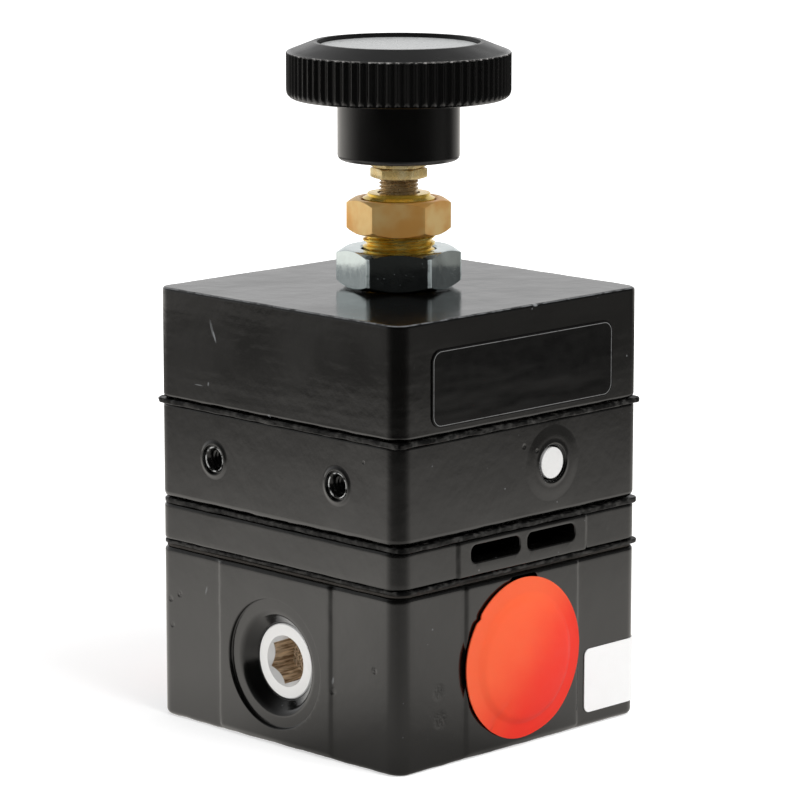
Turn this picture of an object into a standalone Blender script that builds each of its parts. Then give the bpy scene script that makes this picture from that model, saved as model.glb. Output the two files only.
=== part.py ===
"""A precision air pressure regulator at its real size, in metres, with +Z up.

The origin is the centre of the base's underside. The front, which carries the label, the exhaust
slots and the inlet port, faces -Y. The two tapped mounting holes are on the left side, which faces -X.
"""

import math

import bmesh
import bpy
from mathutils import Matrix

# Clearances
FIT_CLEARANCE = 0.0003
LAYER_CLEARANCE = 0.00005
SEAL_CLEARANCE = 0.0001

# Square body and the layers clamped in it
BODY_WIDTH = 0.0603
BODY_CORNER_RADIUS = 0.003
BASE_HEIGHT = 0.0308
GASKET_THICKNESS = 0.00045
LOWER_DIAPHRAGM_THICKNESS = 0.0007
EXHAUST_RING_HEIGHT = 0.0065
UPPER_DIAPHRAGM_THICKNESS = 0.0009
UPPER_RING_HEIGHT = 0.0169
CONTROL_DIAPHRAGM_THICKNESS = 0.0009
BONNET_HEIGHT = 0.0197
BASE_EDGE_ROUNDING = 0.001
RING_EDGE_ROUNDING = 0.0007
BONNET_EDGE_ROUNDING = 0.0005
TOP_EDGE_ROUNDING = 0.0003

# How far the rubber sheets stand out of the body, and their corners
CONTROL_DIAPHRAGM_OVERHANG = 0.0005
RELAY_DIAPHRAGM_OVERHANG = 0.0003
GASKET_SETBACK = 0.0002
SHEET_CORNER_RADIUS = 0.0013

# Raised pads cast on the faces
PAD_HEIGHT = 0.00035
BASE_PAD_WIDTH = 0.028
BASE_PAD_FOOT = 0.0009
PAD_SETBACK = 0.0005
EXHAUST_PAD_WIDTH = 0.032

# Long screws that clamp the layers, put in from the underside
SCREW_EDGE_DISTANCE = 0.00655
SCREW_SHANK_RADIUS = 0.002
SCREW_HEAD_RADIUS = 0.0035
SCREW_HEAD_HEIGHT = 0.004
SCREW_HEAD_SINK = 0.0007
SCREW_SOCKET_FLATS = 0.003
SCREW_SOCKET_DEPTH = 0.002
SCREW_REACH = 0.0105

# Chambers
CHAMBER_WALL = 0.00815
RELAY_CHAMBER_DEPTH = 0.0035
SIGNAL_CHAMBER_DEPTH = 0.0067
NOZZLE_CHAMBER_DEPTH = 0.0049
BONNET_WALL = 0.01265
BONNET_ROOF = 0.004

# Main ports, front and back
PORT_HEIGHT = 0.0153
PORT_RADIUS = 0.00595
PORT_DEPTH = 0.01435
PORT_CHAMFER = 0.00125
PORT_PASSAGE_RADIUS = 0.003
RISER_RADIUS = 0.002
RISER_EDGE_DISTANCE = 0.0015

# Gauge ports, left and right, and their plugs
GAUGE_PORT_HEIGHT = 0.0145
GAUGE_PORT_DEPTH = 0.0135
GAUGE_SPOTFACE_RADIUS = 0.0114
GAUGE_SPOTFACE_DEPTH = 0.00065
GAUGE_CONE_RADIUS = 0.0089
GAUGE_PLUG_RADIUS = 0.0065
GAUGE_PLUG_SINK = 0.0023
GAUGE_PLUG_LENGTH = 0.009
GAUGE_PLUG_CHAMFER = 0.0004
GAUGE_SOCKET_FLATS = 0.0074
GAUGE_SOCKET_DEPTH = 0.0055
GAUGE_SOCKET_TURN = 22.0
GAUGE_RISER_RADIUS = 0.0015

# Push-in port caps
CAP_RADIUS = 0.0142
CAP_STANDOFF = 0.0004
CAP_RIM_THICKNESS = 0.0008
CAP_DOME_HEIGHT = 0.0013
CAP_STEM_LENGTH = 0.005
CAP_STEM_WALL = 0.0009

# Pocket in the front of the base, above the port
POCKET_WIDTH = 0.0066
POCKET_HEIGHT = 0.004
POCKET_DEPTH = 0.003
POCKET_CORNER_RADIUS = 0.0008
POCKET_TOP_SETBACK = 0.00045

# Exhaust slots in the front of the exhaust ring
SLOT_LENGTH = 0.012
SLOT_HEIGHT = 0.003
SLOT_SPACING = 0.0019
SLOT_CORNER_RADIUS = 0.0012
SLOT_LEVEL = 0.0039

# Tapped mounting holes in the left face of the upper ring
MOUNTING_HOLE_SPACING = 0.0308
MOUNTING_HOLE_RADIUS = 0.002
MOUNTING_HOLE_RIM = 0.00055
MOUNTING_HOLE_DEPTH = 0.009
MOUNTING_HOLE_LEVEL = 0.0087

# Sealed cross drilling in the front of the upper ring
CROSS_DRILLING_OFFSET = 0.0074
CROSS_DRILLING_LEVEL = 0.0093
CROSS_DRILLING_RADIUS = 0.0015
SEALING_PLUG_RADIUS = 0.00275
SEALING_PLUG_LENGTH = 0.006
SEALING_BOSS_RADIUS = 0.0068
SEALING_BOSS_HEIGHT = 0.00015
SEALING_SINK = 0.0001
SEALING_COUNTERSINK = 0.0006

# Air supply passage from the inlet port up to the nozzle
SUPPLY_RADIUS = 0.0013
SUPPLY_CROSS_RADIUS = 0.00115
SUPPLY_SIDE_DISTANCE = 0.01215
SUPPLY_EDGE_DISTANCE = 0.00565
DRILLING_OVERRUN = 0.0004

# Bottom plug and its seal
BOTTOM_PLUG_RADIUS = 0.0097
BOTTOM_PLUG_LENGTH = 0.0071
BOTTOM_PLUG_SINK = 0.0006
BOTTOM_PLUG_SOCKET_FLATS = 0.008
BOTTOM_PLUG_SOCKET_DEPTH = 0.003
SPRING_POCKET_RADIUS = 0.0046
SPRING_POCKET_DEPTH = 0.0015
O_RING_THICKNESS = 0.0016
O_RING_LEVEL = 0.0046

# Main valve and its seat
VALVE_CHAMBER_RADIUS = 0.007
VALVE_CHAMBER_HEIGHT = 0.011
SEAT_BODY_RADIUS = 0.0052
SEAT_FLANGE_RADIUS = 0.0064
SEAT_FLANGE_THICKNESS = 0.0014
SEAT_ORIFICE_RADIUS = 0.003
SEAT_LIP_HEIGHT = 0.0005
SEAT_LIP_WIDTH = 0.0009
SEAT_TOP_SETBACK = 0.0013
VALVE_STEM_RADIUS = 0.0013
VALVE_DISC_RADIUS = 0.005
VALVE_DISC_THICKNESS = 0.0017
VALVE_HOLDER_THICKNESS = 0.002
VALVE_TAIL_LENGTH = 0.0028
VALVE_TIP_RADIUS = 0.0024
VALVE_TIP_HEIGHT = 0.0016
VALVE_SPRING_RADIUS = 0.0036
VALVE_SPRING_WIRE_RADIUS = 0.0004
VALVE_SPRING_TURNS = 4

# Relay between its two diaphragms
RELAY_PLATE_GAP = 0.007
RELAY_PLATE_THICKNESS = 0.0012
HUB_RADIUS = 0.007
HUB_STEM_RADIUS = 0.004
EXHAUST_SEAT_RADIUS = 0.009
EXHAUST_SEAT_THICKNESS = 0.0021
EXHAUST_SEAT_FLOOR = 0.001
EXHAUST_BORE_RADIUS = 0.0018
EXHAUST_CROSS_RADIUS = 0.0011
RELAY_NUT_FLATS = 0.01
RELAY_NUT_HEIGHT = 0.0025

# Nozzle, restrictor and flapper
NOZZLE_STEM_RADIUS = 0.0027
NOZZLE_FLANGE_RADIUS = 0.005
NOZZLE_FLANGE_THICKNESS = 0.0011
NOZZLE_TIP_RADIUS = 0.0013
NOZZLE_BORE_RADIUS = 0.0005
RESTRICTOR_RADIUS = 0.0015
RESTRICTOR_BORE_RADIUS = 0.0004
RESTRICTOR_OFFSET = 0.012
FLAPPER_RADIUS = 0.0032
FLAPPER_THICKNESS = 0.0009
FLAPPER_SHANK_RADIUS = 0.002
FLAPPER_WASHER_RADIUS = 0.012
FLAPPER_WASHER_THICKNESS = 0.001
CONTROL_PLATE_GAP = 0.002
CONTROL_PLATE_THICKNESS = 0.0015
SPRING_BOSS_RADIUS = 0.0066
CONTROL_BOSS_HEIGHT = 0.0017
CONTROL_NUT_FLATS = 0.007
CONTROL_NUT_HEIGHT = 0.002

# Regulating spring, its upper rest and the thrust ball
SPRING_RADIUS = 0.0086
SPRING_WIRE_RADIUS = 0.001
SPRING_TURNS = 3
REST_RADIUS = 0.0105
REST_THICKNESS = 0.002
REST_BOSS_HEIGHT = 0.002
REST_HEADROOM = 0.0022
BALL_RADIUS = 0.002
BALL_POCKET_DEPTH = 0.0018

# Bushing, nuts and spindle
BUSHING_RADIUS = 0.00635
BUSHING_STANDOUT = 0.0166
BUSHING_COLLAR_RADIUS = 0.0055
BUSHING_COLLAR_HEIGHT = 0.0005
BUSHING_SETBACK = 0.0003
LOCK_NUT_FLATS = 0.01905
LOCK_NUT_HEIGHT = 0.0066
PANEL_NUT_FLATS = 0.0159
PANEL_NUT_HEIGHT = 0.006
PANEL_NUT_GAP = 0.0027
NUT_FACE_SETBACK = 0.0002
SPINDLE_RADIUS = 0.00345
SPINDLE_CHAMFER = 0.0004

# Adjusting knob
KNOB_NUT_FLATS = 0.0087
KNOB_NUT_HEIGHT = 0.0018
KNOB_NUT_GAP = 0.0026
KNOB_NUT_TURN = 10.0
INSERT_FLATS = 0.0084
INSERT_HEX_HEIGHT = 0.00125
INSERT_HEX_TURN = 17.0
INSERT_RADIUS = 0.0046
INSERT_DEPTH = 0.0125
HUB_LIP_GAP = 0.0001
KNOB_HUB_RADIUS = 0.0107
KNOB_HUB_HEIGHT = 0.0108
KNOB_HUB_ROUNDING = 0.001
KNOB_HUB_RECESS_RADIUS = 0.0082
KNOB_HUB_RECESS_DEPTH = 0.0007
KNOB_RIM_RADIUS = 0.0196
KNOB_RIM_HEIGHT = 0.008
KNOB_RIM_ROUNDING = 0.0014
KNOB_CONE_HEIGHT = 0.0018
KNOB_RIDGE_RADIUS = 0.015
KNOB_RIDGE_WIDTH = 0.0008
FLUTE_COUNT = 80
FLUTE_DEPTH = 0.0005
DISC_RECESS_DEPTH = 0.0021
DISC_THICKNESS = 0.0011

# Label on the bonnet and sticker on the base
LABEL_WIDTH = 0.0448
LABEL_HEIGHT = 0.0134
LABEL_CORNER_RADIUS = 0.0022
LABEL_LEVEL = 0.0014
LABEL_THICKNESS = 0.0002
STICKER_PAD_GAP = 0.0019
STICKER_WRAP = 0.003
STICKER_BOTTOM = 0.0026
STICKER_HEIGHT = 0.0115
STICKER_THICKNESS = 0.00015

# How finely round shapes are divided
SIDES = 24
INNER_SIDES = 16
SMALL_SIDES = 12
HOLE_SIDES = 8
NUT_SIDES = 24
COIL_SIDES = 10
CORNER_STEPS = 3
BEYOND = 0.001
O_RING_SIDES = 6
BALL_STEPS = 6
DOME_SHARES = (0.8, 0.5, 0.25)
DEGREE = math.pi / 180
NUT_TURN = 15.0
NUT_CHAMFER_ANGLE = 30 * DEGREE
SHARP_ANGLE = 35 * DEGREE
FACE_ANGLES = {"front": 0, "right": 90, "back": 180, "left": 270}

# Widths and levels of the clamped stack, from the underside up
HALF_WIDTH = BODY_WIDTH / 2
PAD_FACE = HALF_WIDTH + PAD_HEIGHT
STICKER_START = BASE_PAD_WIDTH / 2 + STICKER_PAD_GAP
CHAMBER_RADIUS = HALF_WIDTH - CHAMBER_WALL
BONNET_CAVITY_RADIUS = HALF_WIDTH - BONNET_WALL
RELAY_PLATE_RADIUS = CHAMBER_RADIUS - RELAY_PLATE_GAP
CONTROL_PLATE_RADIUS = BONNET_CAVITY_RADIUS - CONTROL_PLATE_GAP
SUPPLY_OFFSET = HALF_WIDTH - SUPPLY_SIDE_DISTANCE
GASKET_BOTTOM = BASE_HEIGHT + LAYER_CLEARANCE
GASKET_TOP = GASKET_BOTTOM + GASKET_THICKNESS
LOWER_DIAPHRAGM_BOTTOM = GASKET_TOP + LAYER_CLEARANCE
LOWER_DIAPHRAGM_TOP = LOWER_DIAPHRAGM_BOTTOM + LOWER_DIAPHRAGM_THICKNESS
EXHAUST_RING_BOTTOM = LOWER_DIAPHRAGM_TOP + LAYER_CLEARANCE
EXHAUST_RING_TOP = EXHAUST_RING_BOTTOM + EXHAUST_RING_HEIGHT
UPPER_DIAPHRAGM_BOTTOM = EXHAUST_RING_TOP + LAYER_CLEARANCE
UPPER_DIAPHRAGM_TOP = UPPER_DIAPHRAGM_BOTTOM + UPPER_DIAPHRAGM_THICKNESS
UPPER_RING_BOTTOM = UPPER_DIAPHRAGM_TOP + LAYER_CLEARANCE
UPPER_RING_TOP = UPPER_RING_BOTTOM + UPPER_RING_HEIGHT
CONTROL_DIAPHRAGM_BOTTOM = UPPER_RING_TOP + LAYER_CLEARANCE
CONTROL_DIAPHRAGM_TOP = CONTROL_DIAPHRAGM_BOTTOM + CONTROL_DIAPHRAGM_THICKNESS
BONNET_BOTTOM = CONTROL_DIAPHRAGM_TOP + LAYER_CLEARANCE
BONNET_TOP = BONNET_BOTTOM + BONNET_HEIGHT
BONNET_CEILING = BONNET_TOP - BONNET_ROOF

# Levels inside the base
PLUG_TOP = BOTTOM_PLUG_SINK + BOTTOM_PLUG_LENGTH
PLUG_BORE_TOP = PLUG_TOP + FIT_CLEARANCE
RELAY_CHAMBER_FLOOR = BASE_HEIGHT - RELAY_CHAMBER_DEPTH
VALVE_CHAMBER_TOP = PLUG_BORE_TOP + VALVE_CHAMBER_HEIGHT
SEAT_FLANGE_TOP = VALVE_CHAMBER_TOP - FIT_CLEARANCE
SEAT_FLANGE_BOTTOM = SEAT_FLANGE_TOP - SEAT_FLANGE_THICKNESS
SEAT_LIP_BOTTOM = SEAT_FLANGE_BOTTOM - SEAT_LIP_HEIGHT
VALVE_DISC_TOP = SEAT_LIP_BOTTOM - FIT_CLEARANCE
VALVE_DISC_BOTTOM = VALVE_DISC_TOP - VALVE_DISC_THICKNESS
VALVE_HOLDER_TOP = VALVE_DISC_BOTTOM - FIT_CLEARANCE
VALVE_HOLDER_BOTTOM = VALVE_HOLDER_TOP - VALVE_HOLDER_THICKNESS

# Levels of the relay
EXHAUST_SEAT_TOP = LOWER_DIAPHRAGM_BOTTOM - FIT_CLEARANCE
EXHAUST_SEAT_BOTTOM = EXHAUST_SEAT_TOP - EXHAUST_SEAT_THICKNESS
VALVE_TIP_TOP = EXHAUST_SEAT_BOTTOM - FIT_CLEARANCE
LOWER_PLATE_BOTTOM = LOWER_DIAPHRAGM_TOP + FIT_CLEARANCE
LOWER_PLATE_TOP = LOWER_PLATE_BOTTOM + RELAY_PLATE_THICKNESS
UPPER_PLATE_TOP = UPPER_DIAPHRAGM_BOTTOM - FIT_CLEARANCE
UPPER_PLATE_BOTTOM = UPPER_PLATE_TOP - RELAY_PLATE_THICKNESS
TOP_PLATE_BOTTOM = UPPER_DIAPHRAGM_TOP + FIT_CLEARANCE
TOP_PLATE_TOP = TOP_PLATE_BOTTOM + RELAY_PLATE_THICKNESS
RELAY_NUT_BOTTOM = TOP_PLATE_TOP + FIT_CLEARANCE
RELAY_NUT_TOP = RELAY_NUT_BOTTOM + RELAY_NUT_HEIGHT
HUB_BORE_RADIUS = HUB_STEM_RADIUS + FIT_CLEARANCE

# Levels of the nozzle, the flapper and the regulating spring
SIGNAL_CHAMBER_TOP = UPPER_RING_BOTTOM + SIGNAL_CHAMBER_DEPTH
NOZZLE_CHAMBER_FLOOR = UPPER_RING_TOP - NOZZLE_CHAMBER_DEPTH
CROSS_DRILLING_HEIGHT = UPPER_RING_BOTTOM + CROSS_DRILLING_LEVEL
WASHER_TOP = CONTROL_DIAPHRAGM_BOTTOM - FIT_CLEARANCE
WASHER_BOTTOM = WASHER_TOP - FLAPPER_WASHER_THICKNESS
FLAPPER_TOP = WASHER_BOTTOM - FIT_CLEARANCE
FLAPPER_BOTTOM = FLAPPER_TOP - FLAPPER_THICKNESS
NOZZLE_TOP = FLAPPER_BOTTOM - FIT_CLEARANCE
CONTROL_PLATE_BOTTOM = CONTROL_DIAPHRAGM_TOP + FIT_CLEARANCE
CONTROL_PLATE_TOP = CONTROL_PLATE_BOTTOM + CONTROL_PLATE_THICKNESS
CONTROL_BOSS_TOP = CONTROL_PLATE_TOP + CONTROL_BOSS_HEIGHT
CONTROL_NUT_BOTTOM = CONTROL_BOSS_TOP + FIT_CLEARANCE
CONTROL_NUT_TOP = CONTROL_NUT_BOTTOM + CONTROL_NUT_HEIGHT
FLAPPER_BORE_RADIUS = FLAPPER_SHANK_RADIUS + FIT_CLEARANCE
REST_TOP = BONNET_CEILING - REST_HEADROOM
REST_BOTTOM = REST_TOP - REST_THICKNESS
BALL_POCKET_FLOOR = REST_TOP - BALL_POCKET_DEPTH
BALL_CENTRE = BALL_POCKET_FLOOR + FIT_CLEARANCE + BALL_RADIUS
SPINDLE_BOTTOM = BALL_CENTRE + BALL_RADIUS + FIT_CLEARANCE

# Levels above the bonnet
LOCK_NUT_BOTTOM = BONNET_TOP + FIT_CLEARANCE
LOCK_NUT_TOP = LOCK_NUT_BOTTOM + LOCK_NUT_HEIGHT
PANEL_NUT_BOTTOM = LOCK_NUT_TOP + PANEL_NUT_GAP
PANEL_NUT_TOP = PANEL_NUT_BOTTOM + PANEL_NUT_HEIGHT
BUSHING_BOTTOM = BONNET_CEILING + BUSHING_SETBACK
BUSHING_TOP = BONNET_TOP + BUSHING_STANDOUT
SPINDLE_BORE_RADIUS = SPINDLE_RADIUS + FIT_CLEARANCE
KNOB_NUT_BOTTOM = BUSHING_TOP + KNOB_NUT_GAP
KNOB_NUT_TOP = KNOB_NUT_BOTTOM + KNOB_NUT_HEIGHT
INSERT_BOTTOM = KNOB_NUT_TOP + LAYER_CLEARANCE
INSERT_HEX_TOP = INSERT_BOTTOM + INSERT_HEX_HEIGHT
KNOB_BOTTOM = INSERT_HEX_TOP + HUB_LIP_GAP
INSERT_TOP = KNOB_BOTTOM + INSERT_DEPTH
RIM_BOTTOM = KNOB_BOTTOM + KNOB_HUB_HEIGHT
RIM_TOP = RIM_BOTTOM + KNOB_RIM_HEIGHT
KNOB_TOP = RIM_TOP + KNOB_CONE_HEIGHT
RECESS_RADIUS = KNOB_RIDGE_RADIUS - KNOB_RIDGE_WIDTH
RECESS_FLOOR = KNOB_TOP - DISC_RECESS_DEPTH

# Colour, roughness and metallic value of each finish
BLACK_PAINT = ((0.022, 0.021, 0.02), 0.35, 0.0)
BLACK_RUBBER = ((0.02, 0.02, 0.02), 0.65, 0.0)
GASKET_FIBRE = ((0.05, 0.045, 0.04), 0.8, 0.0)
BLACK_PHENOLIC = ((0.012, 0.012, 0.012), 0.25, 0.0)
BRASS = ((0.78, 0.55, 0.22), 0.25, 1.0)
ZINC = ((0.62, 0.66, 0.7), 0.3, 1.0)
NICKEL = ((0.78, 0.76, 0.72), 0.15, 1.0)
STEEL = ((0.5, 0.5, 0.5), 0.35, 1.0)
BLACK_STEEL = ((0.03, 0.03, 0.03), 0.4, 1.0)
ALUMINIUM = ((0.75, 0.75, 0.76), 0.35, 1.0)
BRONZE = ((0.16, 0.11, 0.05), 0.35, 1.0)
RED_VINYL = ((0.9, 0.09, 0.03), 0.4, 0.0)
GREY_DISC = ((0.5, 0.51, 0.52), 0.3, 0.0)
WHITE_PAPER = ((0.85, 0.85, 0.84), 0.5, 0.0)
LABEL_FOIL = ((0.015, 0.015, 0.015), 0.3, 0.0)


def clear_scene():
    for obj in list(bpy.data.objects):
        bpy.data.objects.remove(obj, do_unlink=True)


def principled(name, finish):
    colour, roughness, metallic = finish
    material = bpy.data.materials.new(name)
    material.use_nodes = True
    shader = material.node_tree.nodes["Principled BSDF"]
    shader.inputs["Base Color"].default_value = (*colour, 1.0)
    shader.inputs["Roughness"].default_value = roughness
    shader.inputs["Metallic"].default_value = metallic
    material.diffuse_color = (*colour, 1.0)
    return material


def add_object(name, bm, place=(0, 0, 0)):
    bmesh.ops.recalc_face_normals(bm, faces=bm.faces)
    mesh = bpy.data.meshes.new(name)
    bm.to_mesh(mesh)
    bm.free()
    obj = bpy.data.objects.new(name, mesh)
    obj.location = place
    bpy.context.scene.collection.objects.link(obj)
    return obj


def piece(name, bm, finish, place=(0, 0, 0)):
    """A visible piece with its own material, shaded smooth between its sharp edges."""
    obj = add_object(name, bm, place)
    obj.data.materials.append(principled(name, finish))
    obj.data.shade_smooth()
    obj.data.set_sharp_from_angle(angle=SHARP_ANGLE)
    return obj


def tool(name, bm, place=(0, 0, 0)):
    """A hidden shape that only cuts or joins."""
    obj = add_object(name + "_tool", bm, place)
    obj.hide_render = True
    obj.display_type = "WIRE"
    return obj


def combine(target, *tools, operation="DIFFERENCE"):
    """One Boolean of a piece with all of its tools at once."""
    together = bpy.data.collections.new(f"{target.name}_{operation.lower()}")
    for other in tools:
        together.objects.link(other)
    modifier = target.modifiers.new(together.name, "BOOLEAN")
    modifier.operation = operation
    modifier.solver = "EXACT"
    modifier.operand_type = "COLLECTION"
    modifier.collection = together


def ring_vertices(bm, radius, height, sides, flute_depth):
    """A ring of points. With a flute depth, every second point lies that much deeper."""
    if radius == 0:
        return [bm.verts.new((0, 0, height))]
    ring = []
    for i in range(sides):
        angle = 2 * math.pi * i / sides
        reach = radius - flute_depth * (i % 2)
        ring.append(bm.verts.new((reach * math.cos(angle), reach * math.sin(angle), height)))
    return ring


def sector(ring, index, count):
    """The points of a ring that border one of count equal sectors."""
    if len(ring) == 1:
        return ring
    step = len(ring) // count
    return [ring[(index * step + k) % len(ring)] for k in range(step + 1)]


def turned(profile, sides=SIDES):
    """A closed profile of (radius, height) points turned about Z.

    A point may add its own number of sides, which is a multiple or a fraction of its
    neighbour's, and a flute depth.
    """
    bm = bmesh.new()
    rings = []
    for radius, height, *own in profile:
        ring_sides = own[0] if own else sides
        flute_depth = own[1] if len(own) > 1 else 0
        rings.append(ring_vertices(bm, radius, height, ring_sides, flute_depth))
    for first, second in zip(rings, rings[1:] + rings[:1]):
        counts = [len(ring) for ring in (first, second) if len(ring) > 1]
        if not counts:
            continue
        for i in range(min(counts)):
            near = sector(first, i, min(counts))
            far = sector(second, i, min(counts))
            bm.faces.new(near + far[::-1])
    return bm


def cylinder(radius, bottom, top, sides=SIDES):
    return turned([(0, bottom), (radius, bottom), (radius, top), (0, top)], sides)


def tube(radius, bore, bottom, top, sides=SIDES):
    return turned([(bore, bottom), (radius, bottom), (radius, top), (bore, top)], sides)


def stacked(rings):
    """A closed solid through outlines of equal length, each a list of (x, y, z) points."""
    bm = bmesh.new()
    loops = [[bm.verts.new(point) for point in ring] for ring in rings]
    bm.faces.new(loops[0][::-1])
    bm.faces.new(loops[-1])
    for low, high in zip(loops, loops[1:]):
        for i in range(len(low)):
            j = (i + 1) % len(low)
            bm.faces.new((low[i], low[j], high[j], high[i]))
    return bm


def prism(outline, bottom, top):
    return stacked([[(x, y, z) for x, y in outline] for z in (bottom, top)])


def rounded_rectangle(width, height, radius):
    """An outline about the origin, anticlockwise, with its round corners as arcs."""
    outline = []
    for corner, (sign_x, sign_y) in enumerate(((1, 1), (-1, 1), (-1, -1), (1, -1))):
        centre_x = sign_x * (width / 2 - radius)
        centre_y = sign_y * (height / 2 - radius)
        for step in range(CORNER_STEPS + 1):
            angle = (corner + step / CORNER_STEPS) * math.pi / 2
            outline.append((centre_x + radius * math.cos(angle), centre_y + radius * math.sin(angle)))
    return outline


def body_block(bottom, top, bottom_rounding, top_rounding):
    """A square block with rounded upright corners and rounded edges at its two ends."""
    levels = rounded_levels(bottom, bottom_rounding, 1) + rounded_levels(top, top_rounding, -1)[::-1]
    outlines = []
    for inset, height in levels:
        width = BODY_WIDTH - 2 * inset
        outline = rounded_rectangle(width, width, BODY_CORNER_RADIUS - inset)
        outlines.append([(x, y, height) for x, y in outline])
    return stacked(outlines)


def rounded_levels(end, rounding, direction):
    """(inset, height) of three rings along a quarter round that starts at an end face."""
    levels = []
    for angle in (0, 45 * DEGREE, 90 * DEGREE):
        inset = rounding * (1 - math.sin(angle))
        rise = rounding * (1 - math.cos(angle))
        levels.append((inset, end + direction * rise))
    return levels


def sheet(width, bottom, top, corner_radius=SHEET_CORNER_RADIUS):
    return prism(rounded_rectangle(width, width, corner_radius), bottom, top)


def onto_face(bm, face, height=0.0, across=0.0):
    """Turns a shape made about +Z so that it points out of a side of the body."""
    turn = Matrix.Rotation(FACE_ANGLES[face] * DEGREE, 4, "Z") @ Matrix.Rotation(90 * DEGREE, 4, "X")
    matrix = Matrix.Translation((0, 0, height)) @ turn @ Matrix.Translation((across, 0, 0))
    bmesh.ops.transform(bm, matrix=matrix, verts=bm.verts)
    return bm


def along_x(bm, start, height, depth):
    """Turns a shape made about +Z so that it runs along +X from a start point."""
    matrix = Matrix.Translation((start, depth, height)) @ Matrix.Rotation(90 * DEGREE, 4, "Y")
    bmesh.ops.transform(bm, matrix=matrix, verts=bm.verts)
    return bm


def hexagon(flats, bottom, top, turn=0.0):
    """A hexagonal prism. At no turn, two of its flats face -Y and +Y."""
    reach = flats / math.sqrt(3)
    outline = []
    for i in range(6):
        angle = (60 * i + turn) * DEGREE
        outline.append((reach * math.cos(angle), reach * math.sin(angle)))
    return prism(outline, bottom, top)


def nut(name, flats, bottom, top, bore, turn, finish):
    """A hexagonal nut with both ends turned to a shallow cone."""
    obj = piece(name, hexagon(flats, bottom - BEYOND, top + BEYOND, turn), finish)
    inner = flats / 2 - NUT_FACE_SETBACK
    outer = flats / math.sqrt(3) + FIT_CLEARANCE
    chamfer = (outer - inner) * math.tan(NUT_CHAMFER_ANGLE)
    profile = [(0, bottom), (inner, bottom), (outer, bottom + chamfer), (outer, top - chamfer)]
    profile += [(inner, top), (0, top)]
    ends = tool(name + "_ends", turned(profile, NUT_SIDES))
    ends.rotation_euler.z = (turn + 180 / NUT_SIDES) * DEGREE
    combine(obj, ends, operation="INTERSECT")
    combine(obj, tool(name + "_bore", cylinder(bore, bottom - BEYOND, top + BEYOND, INNER_SIDES)))
    return obj


def coil(name, radius, wire_radius, bottom, top, turns, finish):
    """A round-wire compression spring between two levels."""
    steps = turns * COIL_SIDES
    low = bottom + wire_radius
    high = top - wire_radius
    curve = bpy.data.curves.new(name, "CURVE")
    curve.dimensions = "3D"
    curve.bevel_depth = wire_radius
    curve.bevel_resolution = 1
    curve.use_fill_caps = True
    spline = curve.splines.new("POLY")
    spline.points.add(steps)
    for i, point in enumerate(spline.points):
        angle = 2 * math.pi * i / COIL_SIDES
        height = low + (high - low) * i / steps
        point.co = (radius * math.cos(angle), radius * math.sin(angle), height, 1)
    obj = bpy.data.objects.new(name, curve)
    curve.materials.append(principled(name, finish))
    bpy.context.scene.collection.objects.link(obj)
    return obj


def group(name, pieces, place=(0, 0, 0)):
    """An empty on a joint's axis that carries the pieces which move together."""
    carrier = bpy.data.objects.new(name, None)
    carrier.location = place
    bpy.context.scene.collection.objects.link(carrier)
    for obj in pieces:
        obj.parent = carrier
        obj.matrix_parent_inverse = Matrix.Translation(place).inverted()


def screw_places():
    reach = HALF_WIDTH - SCREW_EDGE_DISTANCE
    return ((-reach, -reach), (reach, -reach), (reach, reach), (-reach, reach))


def make_screw_hole_tools():
    """One stepped drilling at each corner, which every clamped layer shares."""
    head_top = SCREW_HEAD_SINK + SCREW_HEAD_HEIGHT
    end = BONNET_BOTTOM + SCREW_REACH + FIT_CLEARANCE + BEYOND
    wide = SCREW_HEAD_RADIUS + FIT_CLEARANCE
    narrow = SCREW_SHANK_RADIUS + FIT_CLEARANCE
    shoulder = head_top + FIT_CLEARANCE
    profile = [(0, -BEYOND), (wide, -BEYOND), (wide, shoulder), (narrow, shoulder), (narrow, end), (0, end)]
    tools = []
    for i, (x, y) in enumerate(screw_places()):
        tools.append(tool(f"screw_hole_{i + 1}", turned(profile, HOLE_SIDES), (x, y, 0)))
    return tools


def make_body_screws():
    head_top = SCREW_HEAD_SINK + SCREW_HEAD_HEIGHT
    end = BONNET_BOTTOM + SCREW_REACH
    profile = [(0, SCREW_HEAD_SINK), (SCREW_HEAD_RADIUS, SCREW_HEAD_SINK)]
    profile += [(SCREW_HEAD_RADIUS, head_top)]
    profile += [(SCREW_SHANK_RADIUS, head_top), (SCREW_SHANK_RADIUS, end), (0, end)]
    socket_top = SCREW_HEAD_SINK + SCREW_SOCKET_DEPTH
    for i, (x, y) in enumerate(screw_places()):
        name = f"body_screw_{i + 1}"
        screw = piece(name, turned(profile, HOLE_SIDES), BLACK_STEEL, (x, y, 0))
        combine(screw, tool(name + "_socket", hexagon(SCREW_SOCKET_FLATS, 0, socket_top), (x, y, 0)))


def make_supply_tools():
    """The upright passage for supply air, and the drillings that join it at both ends."""
    depth = -(HALF_WIDTH - SUPPLY_EDGE_DISTANCE)
    bottom = PORT_HEIGHT - DRILLING_OVERRUN
    top = CROSS_DRILLING_HEIGHT + DRILLING_OVERRUN
    upright = cylinder(SUPPLY_RADIUS, bottom, top, SMALL_SIDES)
    start = -SUPPLY_OFFSET - DRILLING_OVERRUN
    low = cylinder(SUPPLY_CROSS_RADIUS, 0, SUPPLY_OFFSET, SMALL_SIDES)
    reach = CROSS_DRILLING_OFFSET + DRILLING_OVERRUN - start
    high = cylinder(SUPPLY_CROSS_RADIUS, 0, reach, SMALL_SIDES)
    return (
        tool("supply_upright", upright, (-SUPPLY_OFFSET, depth, 0)),
        tool("supply_low", along_x(low, start, PORT_HEIGHT, depth)),
        tool("supply_high", along_x(high, start, CROSS_DRILLING_HEIGHT, depth)),
    )


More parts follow.
